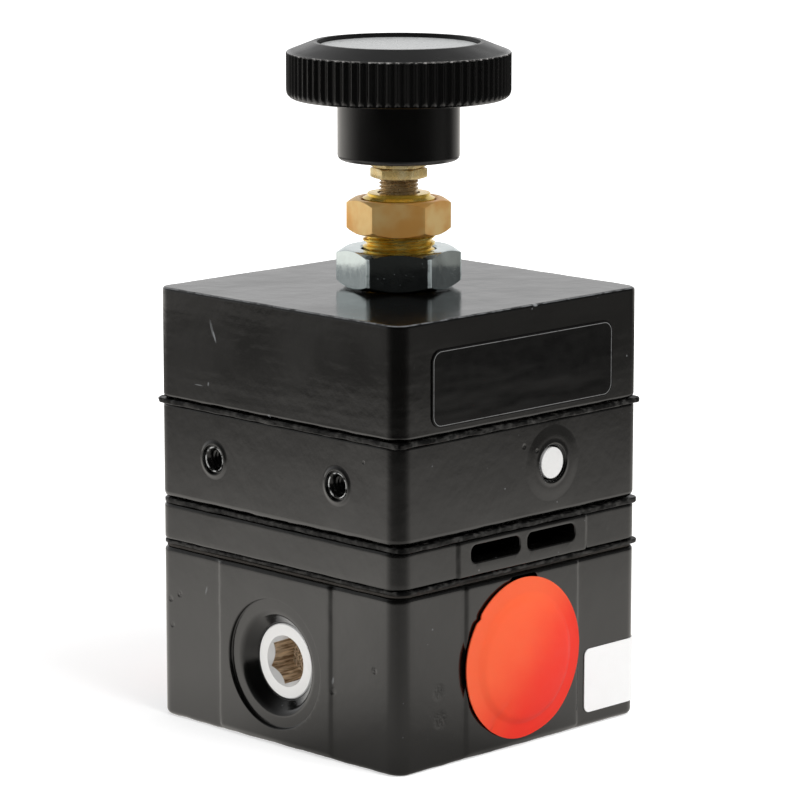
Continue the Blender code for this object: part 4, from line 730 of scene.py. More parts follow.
def mounting_hole():
    """A tapped hole with a broken ridge and a groove round its mouth, pointing along +Z out of a side."""
    ridge = HALF_WIDTH - HOLE_CHAMFER / 2
    groove = ridge - HOLE_GROOVE_DEPTH
    ends = (HALF_WIDTH - HOLE_DEPTH, ridge - HOLE_CHAMFER)
    profile = threads(HOLE_RADIUS, 0.4 * HOLE_PITCH, HOLE_PITCH, *ends)
    profile += [(HOLE_RIDGE - 0.05 * MM, ridge), (HOLE_RIDGE + 0.05 * MM, ridge)]
    profile += [(HOLE_RIDGE + 0.15 * MM, groove), (HOLE_GROOVE - 0.1 * MM, groove)]
    profile += [(HOLE_GROOVE, HALF_WIDTH - 0.05 * MM), (HOLE_GROOVE + 0.1 * MM, HALF_WIDTH + BEYOND)]
    return lathe("mounting_hole", profile + [(0, HALF_WIDTH + BEYOND)], SMALL_SIDES)


def make_upper_ring(paint):
    ring = block("upper_layer", RING_BOTTOM, RING_TOP, RING_ROUNDING, RING_TOP_ROUNDING)
    level = RING_BOTTOM + SEAL_LEVEL
    hole_places = [("left", RING_BOTTOM + HOLE_LEVEL, side * HOLE_PLACE) for side in (-1, 1)]
    sizes = (SEAL_BOSS_RADIUS, SEAL_BOSS_HEIGHT, SEAL_BORE + SEAL_COUNTERSINK, 2 * BOSS_SLOPE)
    bosses = [onto_face(boss("seal_boss", *sizes), "front", level, SEAL_PLACE)]
    for place in hole_places:
        hole_boss = boss("hole_boss", HOLE_BOSS_RADIUS, HOLE_BOSS_HEIGHT, HOLE_GROOVE + BORE_RIM_WIDTH / 2)
        bosses.append(onto_face(hole_boss, *place))
    combine(ring, bosses, "UNION")

    low, high = RING_BOTTOM - BEYOND, RING_TOP + BEYOND
    chambers = stepped(low, (CHAMBER_RADIUS, SIGNAL_TOP), (NOZZLE_BORE, NOZZLE_FLOOR), (CHAMBER_RADIUS, high))
    tools = [lathe("ring_chambers", chambers)] + screw_bores(low, high)
    bleed = cylinder("bleed", RESTRICTOR_BORE, SIGNAL_TOP - BEYOND, NOZZLE_FLOOR + BEYOND)
    tools.append(shifted(bleed, -RESTRICTOR_OFFSET))
    face = HALF_WIDTH + SEAL_BOSS_HEIGHT
    end = face - SEAL_LENGTH - SEAL_SINK - BEYOND
    drilling = [(0, end), (SEAL_BORE, end), (SEAL_BORE, face - SEAL_COUNTERSINK)]
    drilling += lip(SEAL_BORE + SEAL_COUNTERSINK / 2, face, SEAL_COUNTERSINK / 2)
    tools.append(onto_face(lathe("drilling", drilling), "front", level, SEAL_PLACE))
    tools += [onto_face(mounting_hole(), *place) for place in hole_places]
    dressed(combine(ring, tools), paint, "root", "body_paint", "upper_ring")


def make_bonnet(paint):
    bonnet = block("upper_housing", BONNET_BOTTOM, BONNET_TOP, BONNET_ROUNDING, TOP_ROUNDING)
    low = BONNET_BOTTOM - BEYOND
    cavity = stepped(low, (CAVITY_RADIUS, CAVITY_TOP), (BUSHING_BORE, BONNET_TOP + BEYOND))
    combine(bonnet, [lathe("cavity", cavity)] + screw_bores(low, SCREW_BORE_TOP))
    dressed(bonnet, paint, "root", "body_paint", "bonnet")


# Sheets between the layers

def sector(name, inner, outer, low, high, number):
    """One of the equal parts of a ring, thin enough at its ends to leave its neighbours free."""
    half = math.pi / SHEET_SECTORS - SHEET_GAP / outer
    turn = number * 2 * math.pi / SHEET_SECTORS
    rings = []
    for step in range(SHEET_STEPS + 1):
        reach = inner + (outer - inner) * step / SHEET_STEPS
        angles = [turn + half * (2 * i / SECTOR_STEPS - 1) for i in range(SECTOR_STEPS + 1)]
        line = [(reach * math.cos(angle), reach * math.sin(angle)) for angle in angles]
        rings.append([(x, y, low) for x, y in line] + [(x, y, high) for x, y in line[::-1]])
    return skin(name, rings)


def make_moving_middle(name, node, bore, inner, outer, body, material, slot):
    """The middle of a sheet, which its plates carry, and sectors that reach from it to the clamped rim."""
    low, high = span(node)
    edge = inner - SHEET_GAP
    middle = lathe(name + "_middle", [(bore, low), (edge, low), (edge, high), (bore, high)])
    dressed(middle, material, body, slot)
    for number in range(SHEET_SECTORS):
        piece = sector(f"{name}_roll_{number + 1}", inner, outer, low, high, number)
        dressed(piece, material, None, slot)
        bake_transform(piece)


def make_sheet(name, node, bore, radius, waviness, rounding, material, slot, width=None, offset=0.0):
    """A sheet between two layers. Its cut edge wanders in and out by the waviness."""
    low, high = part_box(node)
    width = (width or high.x - low.x) - waviness
    line = divided(rounded_rectangle(width, width, radius), SHEET_SPACING)
    coarse, fine, curling = SHEET_NOISE
    profile = [(SHEET_FLAT, low.z), (rounding, low.z), (0, low.z + rounding), (0, high.z - rounding)]
    profile += [(rounding, high.z), (SHEET_FLAT, high.z)]
    rings = []
    for inset, z in profile:
        ring = []
        for x, y in line:
            wander = waviness / 2 * noise.noise(Vector((x, y, low.z)) * coarse)
            wander += waviness / 3 * noise.noise(Vector((x, y, z * 3)) * fine)
            curl = waviness / 3 * noise.noise(Vector((y, x, low.z)) * curling) * (inset < SHEET_FLAT)
            reach = 1 + (wander - inset) / math.hypot(x, y)
            ring.append((x * reach + offset, y * reach - offset, z + curl))
        rings.append(ring)
    sheet = skin(name, rings)
    ends = (low.z - BEYOND, high.z + BEYOND)
    combine(sheet, [cylinder("opening", bore, *ends, SIDES)] + screw_bores(*ends))
    dressed(sheet, material, "root", slot, node)


def make_sheets(rubber, fibre):
    look = (rubber, "black_rubber")
    outer = CHAMBER_RADIUS - RIM_GAP
    for level in ("lower", "upper"):
        name, node = level + "_sheet", level + "_relay_diaphragm"
        make_sheet(name, node, outer + SHEET_GAP, RELAY_CORNER_RADIUS, 0.3 * MM, 0.15 * MM, *look,
                   RELAY_SHEET_WIDTH, RELAY_SHEET_OFFSET)
        make_moving_middle(name, node, HUB_BORE, RELAY_MIDDLE, outer, "relay", *look)
    outer = CAVITY_RADIUS - RIM_GAP
    name, node = "control_sheet", "control_diaphragm"
    make_sheet(name, node, outer + SHEET_GAP, CONTROL_CORNER_RADIUS, 0.4 * MM, 0.2 * MM, *look)
    make_moving_middle(name, node, FLAPPER_BORE, CONTROL_MIDDLE, outer, "control", *look)
    make_sheet("gasket_sheet", "base_gasket", CHAMBER_RADIUS, CORNER_RADIUS, 0.15 * MM, 0.08 * MM,
               fibre, "gasket_fibre")


# Plugs, caps and screws

def hexagon(flats, turn=0.0, rounding=0.1 * MM):
    """A hexagon's outline with slightly rounded corners. At no turn, two of its flats face -Y and +Y."""
    reach = flats / math.sqrt(3)
    corners = [(60 * i + turn) * DEGREE for i in range(6)]
    line = [(reach * math.cos(angle), reach * math.sin(angle), rounding) for angle in corners]
    return rounded(line, HEXAGON_CORNER_STEPS, closed=True)


def make_gauge_plugs(material):
    """Socket plugs. The hexagon breaks into a conical mouth, which leaves small arcs at its corners."""
    face = PAD_FACE - PLUG_SINK
    end = face - PLUG_LENGTH
    edge = PLUG_RADIUS - PLUG_CHAMFER
    soft = 0.1 * MM
    profile = [(0, end), (edge, end, soft), (PLUG_RADIUS, end + PLUG_CHAMFER, soft)]
    profile += [(PLUG_RADIUS, face - PLUG_CHAMFER, soft), (edge, face, soft), (0, face)]
    floor = face - SOCKET_MOUTH_DEPTH
    mouth = [(0, floor), (SOCKET_MOUTH - SOCKET_MOUTH_REACH, floor), (SOCKET_MOUTH, face)]
    mouth += [(SOCKET_MOUTH + BEYOND, face + BEYOND), (0, face + BEYOND)]
    for side in ("left", "right"):
        plug = turned(side + "_plug", profile)
        socket = prism("socket", hexagon(SOCKET_FLATS, SOCKET_TURN), face - SOCKET_DEPTH, face + BEYOND)
        combine(plug, [socket, lathe("mouth", mouth)])
        onto_face(plug, side, GAUGE_LEVEL)
        dressed(plug, material, "root", "nickel_plate", side + "_gauge_plug")


def make_port_caps(material):
    """Domed vinyl caps with a thin flange, slightly uneven, on a hollow stem."""
    hollow = CAP_STEM_RADIUS - CAP_STEM_WALL
    under = CAP_STANDOFF
    flange = under + CAP_RIM
    inside = under + CAP_DOME / 2
    line = [(0, inside), (hollow, inside), (hollow, -CAP_STEM_LENGTH, 0.2 * MM)]
    line += [(CAP_STEM_RADIUS, -CAP_STEM_LENGTH, 0.2 * MM), (CAP_STEM_RADIUS, under, 0.3 * MM)]
    line += [(CAP_RADIUS, under, 0.3 * MM), (CAP_RADIUS, flange - 0.1 * MM)]
    profile = rounded(line)
    for step in range(CAP_DOME_STEPS + 1):
        share = 1 - step / CAP_DOME_STEPS
        height = flange + CAP_STEP * rise(1 - share, 0, 0.14) + (CAP_DOME - CAP_STEP) * (1 - share**2)
        profile.append((CAP_DOME_RADIUS * share, height))

    def near(angle, middle, width):
        """1 at the middle, and fading on both sides of it."""
        return math.exp(-(((angle - middle) / width) ** 2))

    def uneven(radius, height, angle):
        """The flange lies a little off centre. Its rim wanders and has one crease and one nick."""
        place = Vector((math.cos(angle), math.sin(angle), 0))
        outer = rise(radius, CAP_STEM_RADIUS + BEYOND, CAP_RADIUS)
        reach = radius * (1 + CAP_WANDER * (noise.noise(place * 1.7) - 0.5) * outer)
        crease = near(angle, CAP_CREASE, 0.07) * rise(radius, 6 * MM, 12 * MM)
        nick = near(angle, CAP_NICK, 0.035) * rise(radius, 13 * MM, 14 * MM)
        reach += CAP_OFF_CENTRE * outer * math.cos(angle - CAP_LEAN)
        level = height - CAP_CREASE_DEPTH * crease * rise(height, under, flange)
        return reach - CAP_NICK_DEPTH * nick, level

    for face in ("front", "back"):
        cap = shifted(lathe(face + "_cap", profile, 2 * SIDES, uneven), z=PAD_FACE)
        onto_face(cap, face, PORT_LEVEL)
        dressed(cap, material, face + "_cap", "red_vinyl", face + "_port_cap")


def make_body_screws(material):
    low, high = span("body_screw_1")
    profile = [(0, low), (SCREW_HEAD_RADIUS, low, 0.4 * MM), (SCREW_HEAD_RADIUS, SCREW_HEAD_TOP)]
    profile += [(SCREW_SHANK_RADIUS, SCREW_HEAD_TOP), (SCREW_SHANK_RADIUS, high, 0.3 * MM), (0, high)]
    for number, (x, y) in enumerate(((-1, -1), (1, -1), (1, 1), (-1, 1)), 1):
        screw = turned(f"long_screw_{number}", profile, SMALL_SIDES)
        outline = hexagon(SCREW_SOCKET_FLATS, SCREW_TURN * number)
        combine(screw, [prism("socket", outline, -BEYOND, low + SCREW_SOCKET_DEPTH)])
        shifted(screw, x * SCREW_PLACE, y * SCREW_PLACE)
        dressed(screw, material, "root", "black_steel", f"body_screw_{number}")


def make_bottom_plug(brass, rubber):
    low, high = span("bottom_plug")
    ring_low, ring_high = span("bottom_plug_o_ring")
    radius = BOTTOM_PLUG_RADIUS
    inner = PLUG_BORE - 0.2 * MM - O_RING_THICKNESS
    gap = 0.1 * MM
    dish = high - BOTTOM_DISH_DEPTH
    line = [(0, low), (radius, low, 0.4 * MM), (radius, ring_low - gap), (inner, ring_low - gap)]
    line += [(inner, ring_high + gap), (radius, ring_high + gap), (radius, high, 0.3 * MM)]
    line += [(BOTTOM_DISH_RADIUS, high), (BOTTOM_DISH_RADIUS, dish), (0, dish)]
    plug = turned("valve_plug", line)
    combine(plug, [prism("socket", hexagon(BOTTOM_SOCKET_FLATS), -BEYOND, low + BOTTOM_SOCKET_DEPTH)])
    dressed(plug, brass, "root", "brass", "bottom_plug")
    middle = (ring_low + ring_high) / 2
    reach = (ring_high - ring_low) / 2
    turns = [2 * math.pi * i / O_RING_SIDES for i in range(O_RING_SIDES)]
    centre = inner + gap + reach
    circle = [(centre + reach * math.cos(turn), middle + reach * math.sin(turn)) for turn in turns]
    dressed(lathe("plug_seal_ring", circle), rubber, "root", "black_rubber", "bottom_plug_o_ring")


def make_sealing_plug(material):
    face = HALF_WIDTH + SEAL_BOSS_HEIGHT - SEAL_SINK
    end = face - SEAL_LENGTH
    plug = turned("drilling_plug", [(0, end), (SEAL_RADIUS, end), (SEAL_RADIUS, face, 0.12 * MM), (0, face)])
    onto_face(plug, "front", RING_BOTTOM + SEAL_LEVEL, SEAL_PLACE)
    dressed(plug, material, "root", "aluminium", "sealing_plug")


# Springs

def coil(name, radius, wire, bottom, top, turns, start, end):
    """Part of a round-wire spring between two levels, from one share of its turns to another."""
    steps = round(SPRING_STEPS * turns * (end - start))
    slant = (top - bottom - 2 * wire) / (turns * 2 * math.pi)
    rings = []
    for step in range(steps + 1):
        angle = (start + (end - start) * step / steps) * turns * 2 * math.pi
        out = Vector((math.cos(angle), math.sin(angle), 0))
        along = Vector((-math.sin(angle) * radius, math.cos(angle) * radius, slant)).normalized()
        side = along.cross(out)
        centre = out * radius + Vector((0, 0, bottom + wire + slant * angle))
        ring = []
        for i in range(WIRE_SIDES):
            turn = 2 * math.pi * i / WIRE_SIDES
            point = centre + (out * math.cos(turn) + side * math.sin(turn)) * wire
            point.z = min(max(point.z, bottom), top)
            ring.append(tuple(point))
        rings.append(ring)
    return skin(name, rings)


def make_springs(material):
    """Round-wire springs; the regulating spring is made as a lower and an upper half."""
    node = "regulating_spring"
    low, high = span(node)
    middle = (low + high) / 2
    sizes = (SPRING_RADIUS, SPRING_WIRE, low, high, SPRING_TURNS)
    valve_levels = span("valve_spring")
    valve_sizes = (VALVE_SPRING_RADIUS, VALVE_SPRING_WIRE, *valve_levels, VALVE_SPRING_TURNS)
    for name, node, shape, bodies, levels in (
        ("lower_spring_turns", node, (*sizes, 0, 0.5), ("control", "root"), (low, middle)),
        ("upper_spring_turns", node, (*sizes, 0.5, 1), ("root", "spring_rest"), (middle, high)),
        ("valve_return_spring", "valve_spring", (*valve_sizes, 0, 1), ("root", "valve"), valve_levels),
    ):
        piece = coil(name, *shape)
        dressed(piece, material, None, "steel", node)
        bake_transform(piece)


# Bushing, nuts and spindle

def hex_nut(name, node, flats, bore, turn, rounding=NUT_ROUNDING, slant=NUT_SLANT, height=None):
    """A hexagonal nut with both ends turned to a shallow cone and softened edges."""
    bottom, top = span(node)
    if height:
        top = bottom + height
    outline = divided(hexagon(flats, turn, rounding), flats / NUT_STEPS)
    inner = flats / 2 - 0.1 * MM
    soft = 0.08 * MM
    mouth = 0.3 * MM

    def ring(reach, lift=0.0):
        """A ring at the smaller of a radius and the outline's own, on the lower end's cone or above it."""
        points = []
        for x, y in outline:
            own = math.hypot(x, y)
            radius = min(reach, own)
            drop = max(radius - inner, 0) * math.tan(slant)
            points.append((x / own * radius, y / own * radius, bottom + drop + lift))
        return points

    rings = [ring(bore, mouth), ring(bore + mouth), ring(inner)]
    rings += [ring(inner + share * (flats / math.sqrt(3) - inner)) for share in (0.25, 0.5, 0.75)]
    rings.append([(x * (1 - soft / flats), y * (1 - soft / flats), z) for x, y, z in ring(flats)])
    rings.append(ring(flats, soft))
    rings += [[(x, y, bottom + top - z) for x, y, z in points] for points in rings[::-1]]
    return skin(name, rings, closed=True)


def threaded(name, profile, crest, pitch, start, end, sides=SMALL_SIDES):
    """A turned piece whose crest carries a real helix between two levels."""
    def shape(radius, height, angle):
        if abs(radius - crest) > 1e-7 or not start <= height <= end:
            return radius, height
        phase = (height / pitch - angle / (2 * math.pi)) % 1
        valley = rise(abs(2 * phase - 1), 0.15, 0.85)
        fade = rise(height, start, start + pitch) * rise(end - height, 0, pitch / 2)
        return radius - THREAD_SHARE * pitch * (1 - valley) * fade, height

    return lathe(name, profile, sides, shape)


def thread_rows(radius, start, end, pitch):
    """Points up a threaded crest, close enough together to carry its helix."""
    count = max(1, round((end - start) / pitch * THREAD_ROWS))
    return [(radius, start + (end - start) * i / count) for i in range(count + 1)]


def make_bushing(material):
    collar = BUSHING_TOP - COLLAR_HEIGHT
    start = BUSHING_BOTTOM + LEAD_CHAMFER
    shoulder = collar - (BUSHING_RADIUS - COLLAR_RADIUS) / 2
    profile = [(SPINDLE_BORE, BUSHING_BOTTOM), (BUSHING_RADIUS - LEAD_CHAMFER, BUSHING_BOTTOM)]
    profile += thread_rows(BUSHING_RADIUS, start, shoulder, BUSHING_PITCH)
    profile += rounded([(BUSHING_RADIUS, shoulder), (COLLAR_RADIUS, collar, 0.1 * MM),
                        (COLLAR_RADIUS, BUSHING_TOP, 0.12 * MM), (SPINDLE_BORE, BUSHING_TOP)])[1:]
    profile.append((SPINDLE_BORE, BUSHING_TOP - LEAD_CHAMFER))
    bushing = threaded("bushing", profile, BUSHING_RADIUS, BUSHING_PITCH, start, shoulder, SIDES)
    dressed(bushing, material, "root", "brass", "bonnet_bushing")


def make_spindle(material):
    low, high = span("adjusting_spindle")
    start, end = BUSHING_TOP - 4 * MM, INSERT_BOTTOM + 1 * MM
    edge = SPINDLE_RADIUS - SPINDLE_CHAMFER
    profile = [(0, low), (edge, low), (SPINDLE_RADIUS, low + SPINDLE_CHAMFER)]
    profile += thread_rows(SPINDLE_RADIUS, start, end, SPINDLE_PITCH)
    profile += [(SPINDLE_RADIUS, high - SPINDLE_CHAMFER), (edge, high), (0, high)]
    spindle = threaded("spindle", profile, SPINDLE_RADIUS, SPINDLE_PITCH, start, end)
    dressed(spindle, material, "adjuster", "spindle_bronze", "adjusting_spindle")


def make_nuts(zinc, satin):
    nut = hex_nut("housing_nut", "bonnet_lock_nut", LOCK_NUT_FLATS, BUSHING_BORE, NUT_TURN, LOCK_NUT_ROUNDING)
    dressed(nut, zinc, "root", "zinc_plate", "bonnet_lock_nut")
    nut = hex_nut("mounting_nut", "panel_nut", PANEL_NUT_FLATS, BUSHING_BORE, NUT_TURN)
    dressed(nut, satin, "root", "brass", "panel_nut")


def make_small_nut_and_insert(brass):
    flat = (NUT_ROUNDING, SMALL_NUT_SLANT)
    nut = hex_nut("spindle_nut", "knob_lock_nut", SMALL_NUT_FLATS, SPINDLE_BORE, SMALL_NUT_TURN, *flat)
    dressed(nut, brass, "adjuster", "brass", "knob_lock_nut")
    sizes = (INSERT_FLATS, SPINDLE_BORE, INSERT_TURN, *flat, INSERT_HEX_HEIGHT)
    head = hex_nut("threaded_insert", "knob_insert", *sizes)
    low = INSERT_BOTTOM + INSERT_HEX_HEIGHT - 0.4 * MM
    stem = [(SPINDLE_BORE, low), (INSERT_RADIUS, low)]
    stem += [(INSERT_RADIUS, INSERT_TOP), (SPINDLE_BORE, INSERT_TOP)]
    combine(head, [lathe("stem", stem, SMALL_SIDES)], "UNION")
    dressed(head, brass, "adjuster", "brass", "knob_insert")


# Knob

def make_knob(phenolic, grey):
    rim_bottom = KNOB_BOTTOM + HUB_HEIGHT
    recess_top = KNOB_BOTTOM + HUB_RECESS_DEPTH
    floor = KNOB_TOP - RECESS_DEPTH
    bore_top = INSERT_TOP + 0.3 * MM
    line = rounded([
        (0, bore_top), (INSERT_BORE, bore_top), (INSERT_BORE, recess_top),
        (HUB_RECESS_RADIUS, recess_top, 0.2 * MM), (HUB_RECESS_RADIUS, KNOB_BOTTOM, 0.15 * MM),
        (HUB_RADIUS, KNOB_BOTTOM, 0.9 * HUB_ROUNDING),
        (HUB_RADIUS, rim_bottom, HUB_ROUNDING), (RIM_RADIUS, rim_bottom, RIM_ROUNDING),
        (RIM_RADIUS, RIM_TOP, 0.25 * MM), (RIDGE_RADIUS, KNOB_TOP, 0.2 * MM),
        (RECESS_RADIUS, KNOB_TOP, 0.15 * MM), (RECESS_RADIUS, floor), (0, floor),
    ])
    profile = []
    for start, end in zip(line, line[1:]):
        profile.append(start)
        if start[0] > RIM_RADIUS - 1e-6 and end[0] > RIM_RADIUS - 1e-6:
            climb = end[1] - start[1]
            profile += [(RIM_RADIUS, start[1] + climb * i / RIM_STEPS) for i in range(1, RIM_STEPS)]
    profile.append(line[-1])

    def fluted(radius, height, angle):
        """Scalloped flutes that run out on the rim's rounded lower edge."""
        if radius < RIM_RADIUS - RIM_ROUNDING or not rim_bottom <= height <= RIM_TOP:
            return radius, height
        phase = angle * FLUTES / (2 * math.pi) % 1
        scallop = 1 - rise(abs(2 * phase - 1), 0.25, 0.95)
        run_out = rise(height, rim_bottom + 0.2 * RIM_ROUNDING, rim_bottom + RIM_ROUNDING)
        return radius - FLUTE_DEPTH * scallop * run_out, height

    knob = lathe("knob_wheel", profile, FLUTES * FLUTE_STEPS, fluted)
    dressed(knob, phenolic, "adjuster", "knob_phenolic", "knob")
    low, high = span("knob_disc")
    reach = RECESS_RADIUS - 0.3 * MM
    disc = turned("top_disc", [(0, low), (reach, low), (reach, high, 0.15 * MM), (0, high)])
    dressed(disc, grey, "adjuster", "disc_grey", "knob_disc")


# Label and sticker

def make_label(film):
    """A thin plate, softly rounded at its edge."""
    back = HALF_WIDTH + LABEL_GAP
    front = back + LABEL_THICKNESS
    soft = LABEL_SOFT
    rings = []
    for inset, level in ((0, back), (0, front - soft), (soft * 0.3, front - soft * 0.3), (soft, front)):
        outline = rounded_rectangle(LABEL_WIDTH - 2 * inset, LABEL_HEIGHT - 2 * inset, LABEL_RADIUS - inset)
        rings.append([(x, y, level) for x, y in outline])
    label = onto_face(skin("name_plate", rings), "front", LABEL_LEVEL)
    dressed(label, film, "root", "label_film", "front_label")


def wrapped(distance, out):
    """The point this far along the sticker's path from its left end, and this far out of the body."""
    centre = HALF_WIDTH - CORNER_RADIUS
    flat = centre - STICKER_START
    bend = CORNER_RADIUS * math.pi / 2
    if distance <= flat:
        return STICKER_START + distance, -HALF_WIDTH - out
    if distance <= flat + bend:
        angle = (distance - flat) / CORNER_RADIUS - math.pi / 2
        reach = CORNER_RADIUS + out
        return centre + reach * math.cos(angle), -centre + reach * math.sin(angle)
    return HALF_WIDTH + out, -centre + distance - flat - bend


def make_sticker(paper):
    """A sticker with round corners, laid as a grid of strips round the body's corner."""
    length = HALF_WIDTH - CORNER_RADIUS - STICKER_START + CORNER_RADIUS * math.pi / 2 + STICKER_WRAP
    columns = [length * step / STICKER_STEPS for step in range(4, STICKER_STEPS - 3)]
    for side in (-1, 1):
        for step in range(STICKER_CORNER_STEPS + 1):
            share = 1 - math.cos(step / STICKER_CORNER_STEPS * math.pi / 2)
            columns.append(length / 2 + side * (length / 2 - STICKER_RADIUS * share))
    inner, outer = LABEL_GAP, LABEL_GAP + STICKER_THICKNESS
    rings = []
    for distance in sorted(set(columns)):
        near = min(distance, length - distance, STICKER_RADIUS)
        cut = STICKER_RADIUS - math.sqrt(max(STICKER_RADIUS**2 - (STICKER_RADIUS - near) ** 2, 0))
        low, high = STICKER_BOTTOM + cut, STICKER_BOTTOM + STICKER_HEIGHT - cut
        section = ((inner, low), (outer, low), (outer, high), (inner, high))
        rings.append([(*wrapped(distance, out), z) for out, z in section])
    dressed(skin("paper_sticker", rings), paper, "root", "sticker_paper", "corner_sticker")


# Materials

def rgba(value):
    return (*value, 1.0) if isinstance(value, tuple) and len(value) == 3 else value


class Nodes:
    """Short calls for the nodes of a material or of the world."""

    def __init__(self, tree):
        self.tree = tree

    def connect(self, value, socket):
        if isinstance(value, bpy.types.NodeSocket):
            self.tree.links.new(value, socket)
        else:
            socket.default_value = value

    def add(self, kind, *values, **settings):
        node = self.tree.nodes.new("ShaderNode" + kind)
        for name, value in settings.items():
            setattr(node, name, value)
        for value, socket in zip(values, node.inputs):
            if value is not None:
                self.connect(value, socket)
        return node

    def maths(self, operation, *values):
        return self.add("Math", *values, operation=operation).outputs[0]

    def times(self, first, *others):
        for value in others:
            first = self.maths("MULTIPLY", first, value)
        return first


class Finish(Nodes):
    """A material of the object. The sizes of noise, specks, spots and bumps are in mm."""

    def __init__(self, name, **inputs):
        self.material = bpy.data.materials.new(name)
        self.material.use_nodes = True
        super().__init__(self.material.node_tree)
        self.shader = self.tree.nodes["Principled BSDF"]
        self.place = self.add("TexCoord").outputs["Object"]
        self.set(**inputs)

    def set(self, **inputs):
        for name, value in inputs.items():
            self.connect(rgba(value), self.shader.inputs[name.replace("_", " ")])

    def axis(self, name):
        return self.add("SeparateXYZ", self.place).outputs["XYZ".index(name)]

    def off_axis(self, names, *middle):
        """Distance along the two named directions from an axis through the middle."""
        squares = []
        for name, value in zip(names, middle):
            away = self.maths("SUBTRACT", self.axis(name), value)
            squares.append(self.times(away, away))
        return self.maths("SQRT", self.maths("ADD", *squares))

    def ramp(self, value, low, high, start=0.0, end=1.0):
        """A smooth step from start to end as the value goes from low to high."""
        node = self.add("MapRange", value, low, high, start, end, interpolation_type="SMOOTHSTEP")
        return node.outputs[0]

    def noise(self, size, detail, stretch=(1, 1, 1), roughness=0.5):
        """Smooth noise with features of about this size, longer along an axis with a stretch above 1."""
        place = self.add("Mapping", self.place, None, None, tuple(1 / share for share in stretch))
        node = self.add("TexNoise", place.outputs[0])
        for name, value in (("Scale", 1 / (size * MM)), ("Detail", detail), ("Roughness", roughness)):
            node.inputs[name].default_value = value
        return node.outputs["Fac"]

    def specks(self, size, share):
        """Small round spots, one in about every cell of this size, kept in a share of the cells."""
        node = self.add("TexVoronoi", self.place)
        node.inputs["Scale"].default_value = 1 / (size * MM)
        cell = self.add("SeparateColor", node.outputs["Color"]).outputs[0]
        near = self.ramp(node.outputs["Distance"], 0.04, 0.11, 1.0, 0.0)
        return self.times(self.ramp(cell, 1 - share, 1 - share + 0.01), near)

    def spot(self, place, size, turn=0.0):
        """1 at a small mark of this size about a place, turned about X, and fading to its edge."""
        place, size = (tuple(value * MM for value in values) for values in (place, size))
        node = self.add("Mapping", self.place, place, (turn, 0, 0), size, vector_type="TEXTURE")
        away = self.add("VectorMath", node.outputs[0], operation="LENGTH").outputs["Value"]
        return self.ramp(away, 0.3, 1.0, 1.0, 0.0)

    def band(self, value, middle, half, soft):
        """1 within a band round the middle, fading over the soft width."""
        away = self.maths("ABSOLUTE", self.maths("SUBTRACT", value, middle))
        return self.ramp(away, half, half + soft, 1.0, 0.0)

    def mix(self, share, first, second):
        node = self.add("Mix", data_type="RGBA")
        for value, index in ((share, 0), (first, 6), (second, 7)):
            self.connect(rgba(value), node.inputs[index])
        return node.outputs[2]

    def bump(self, height, depth, strength=1.0):
        """Relief of this depth on top of the relief that the shader already has."""
        node = self.add("Bump")
        node.inputs["Strength"].default_value = strength
        node.inputs["Distance"].default_value = depth * MM
        self.connect(height, node.inputs["Height"])
        normal = self.shader.inputs["Normal"]
        if normal.links:
            self.connect(normal.links[0].from_socket, node.inputs["Normal"])
        self.connect(node.outputs[0], normal)


def mottled(name, colours, tone, rough=None, rough_tone=None, contrast=None, bumps=(), **inputs):
    """A finish between two colours, and between two roughnesses if they are given, by noise."""
    finish = Finish(name, **inputs)
    mottle = finish.noise(*tone)
    share = finish.ramp(mottle, *contrast) if contrast else mottle
    finish.set(Base_Color=finish.mix(share, *colours))
    if rough:
        gloss = finish.noise(*rough_tone) if rough_tone else mottle
        finish.set(Roughness=finish.ramp(gloss, 0.3, 0.7, *rough))
    for relief, *depth in bumps:
        finish.bump(finish.noise(*relief), *depth)
    return finish.material


def turned_metal(name, dark, light, rough, mark=0.004, patch=3, metallic=1.0):
    """Machined metal: fine marks run round the axis, with a soft change of tone."""
    marks = (((0.12, 3, (60, 60, 1)), mark, 0.8), ((0.6, 3), mark, 0.6))
    return mottled(name, (dark, light), (patch, 3), rough, (1.2, 4), (0.35, 0.65), marks, Metallic=metallic)


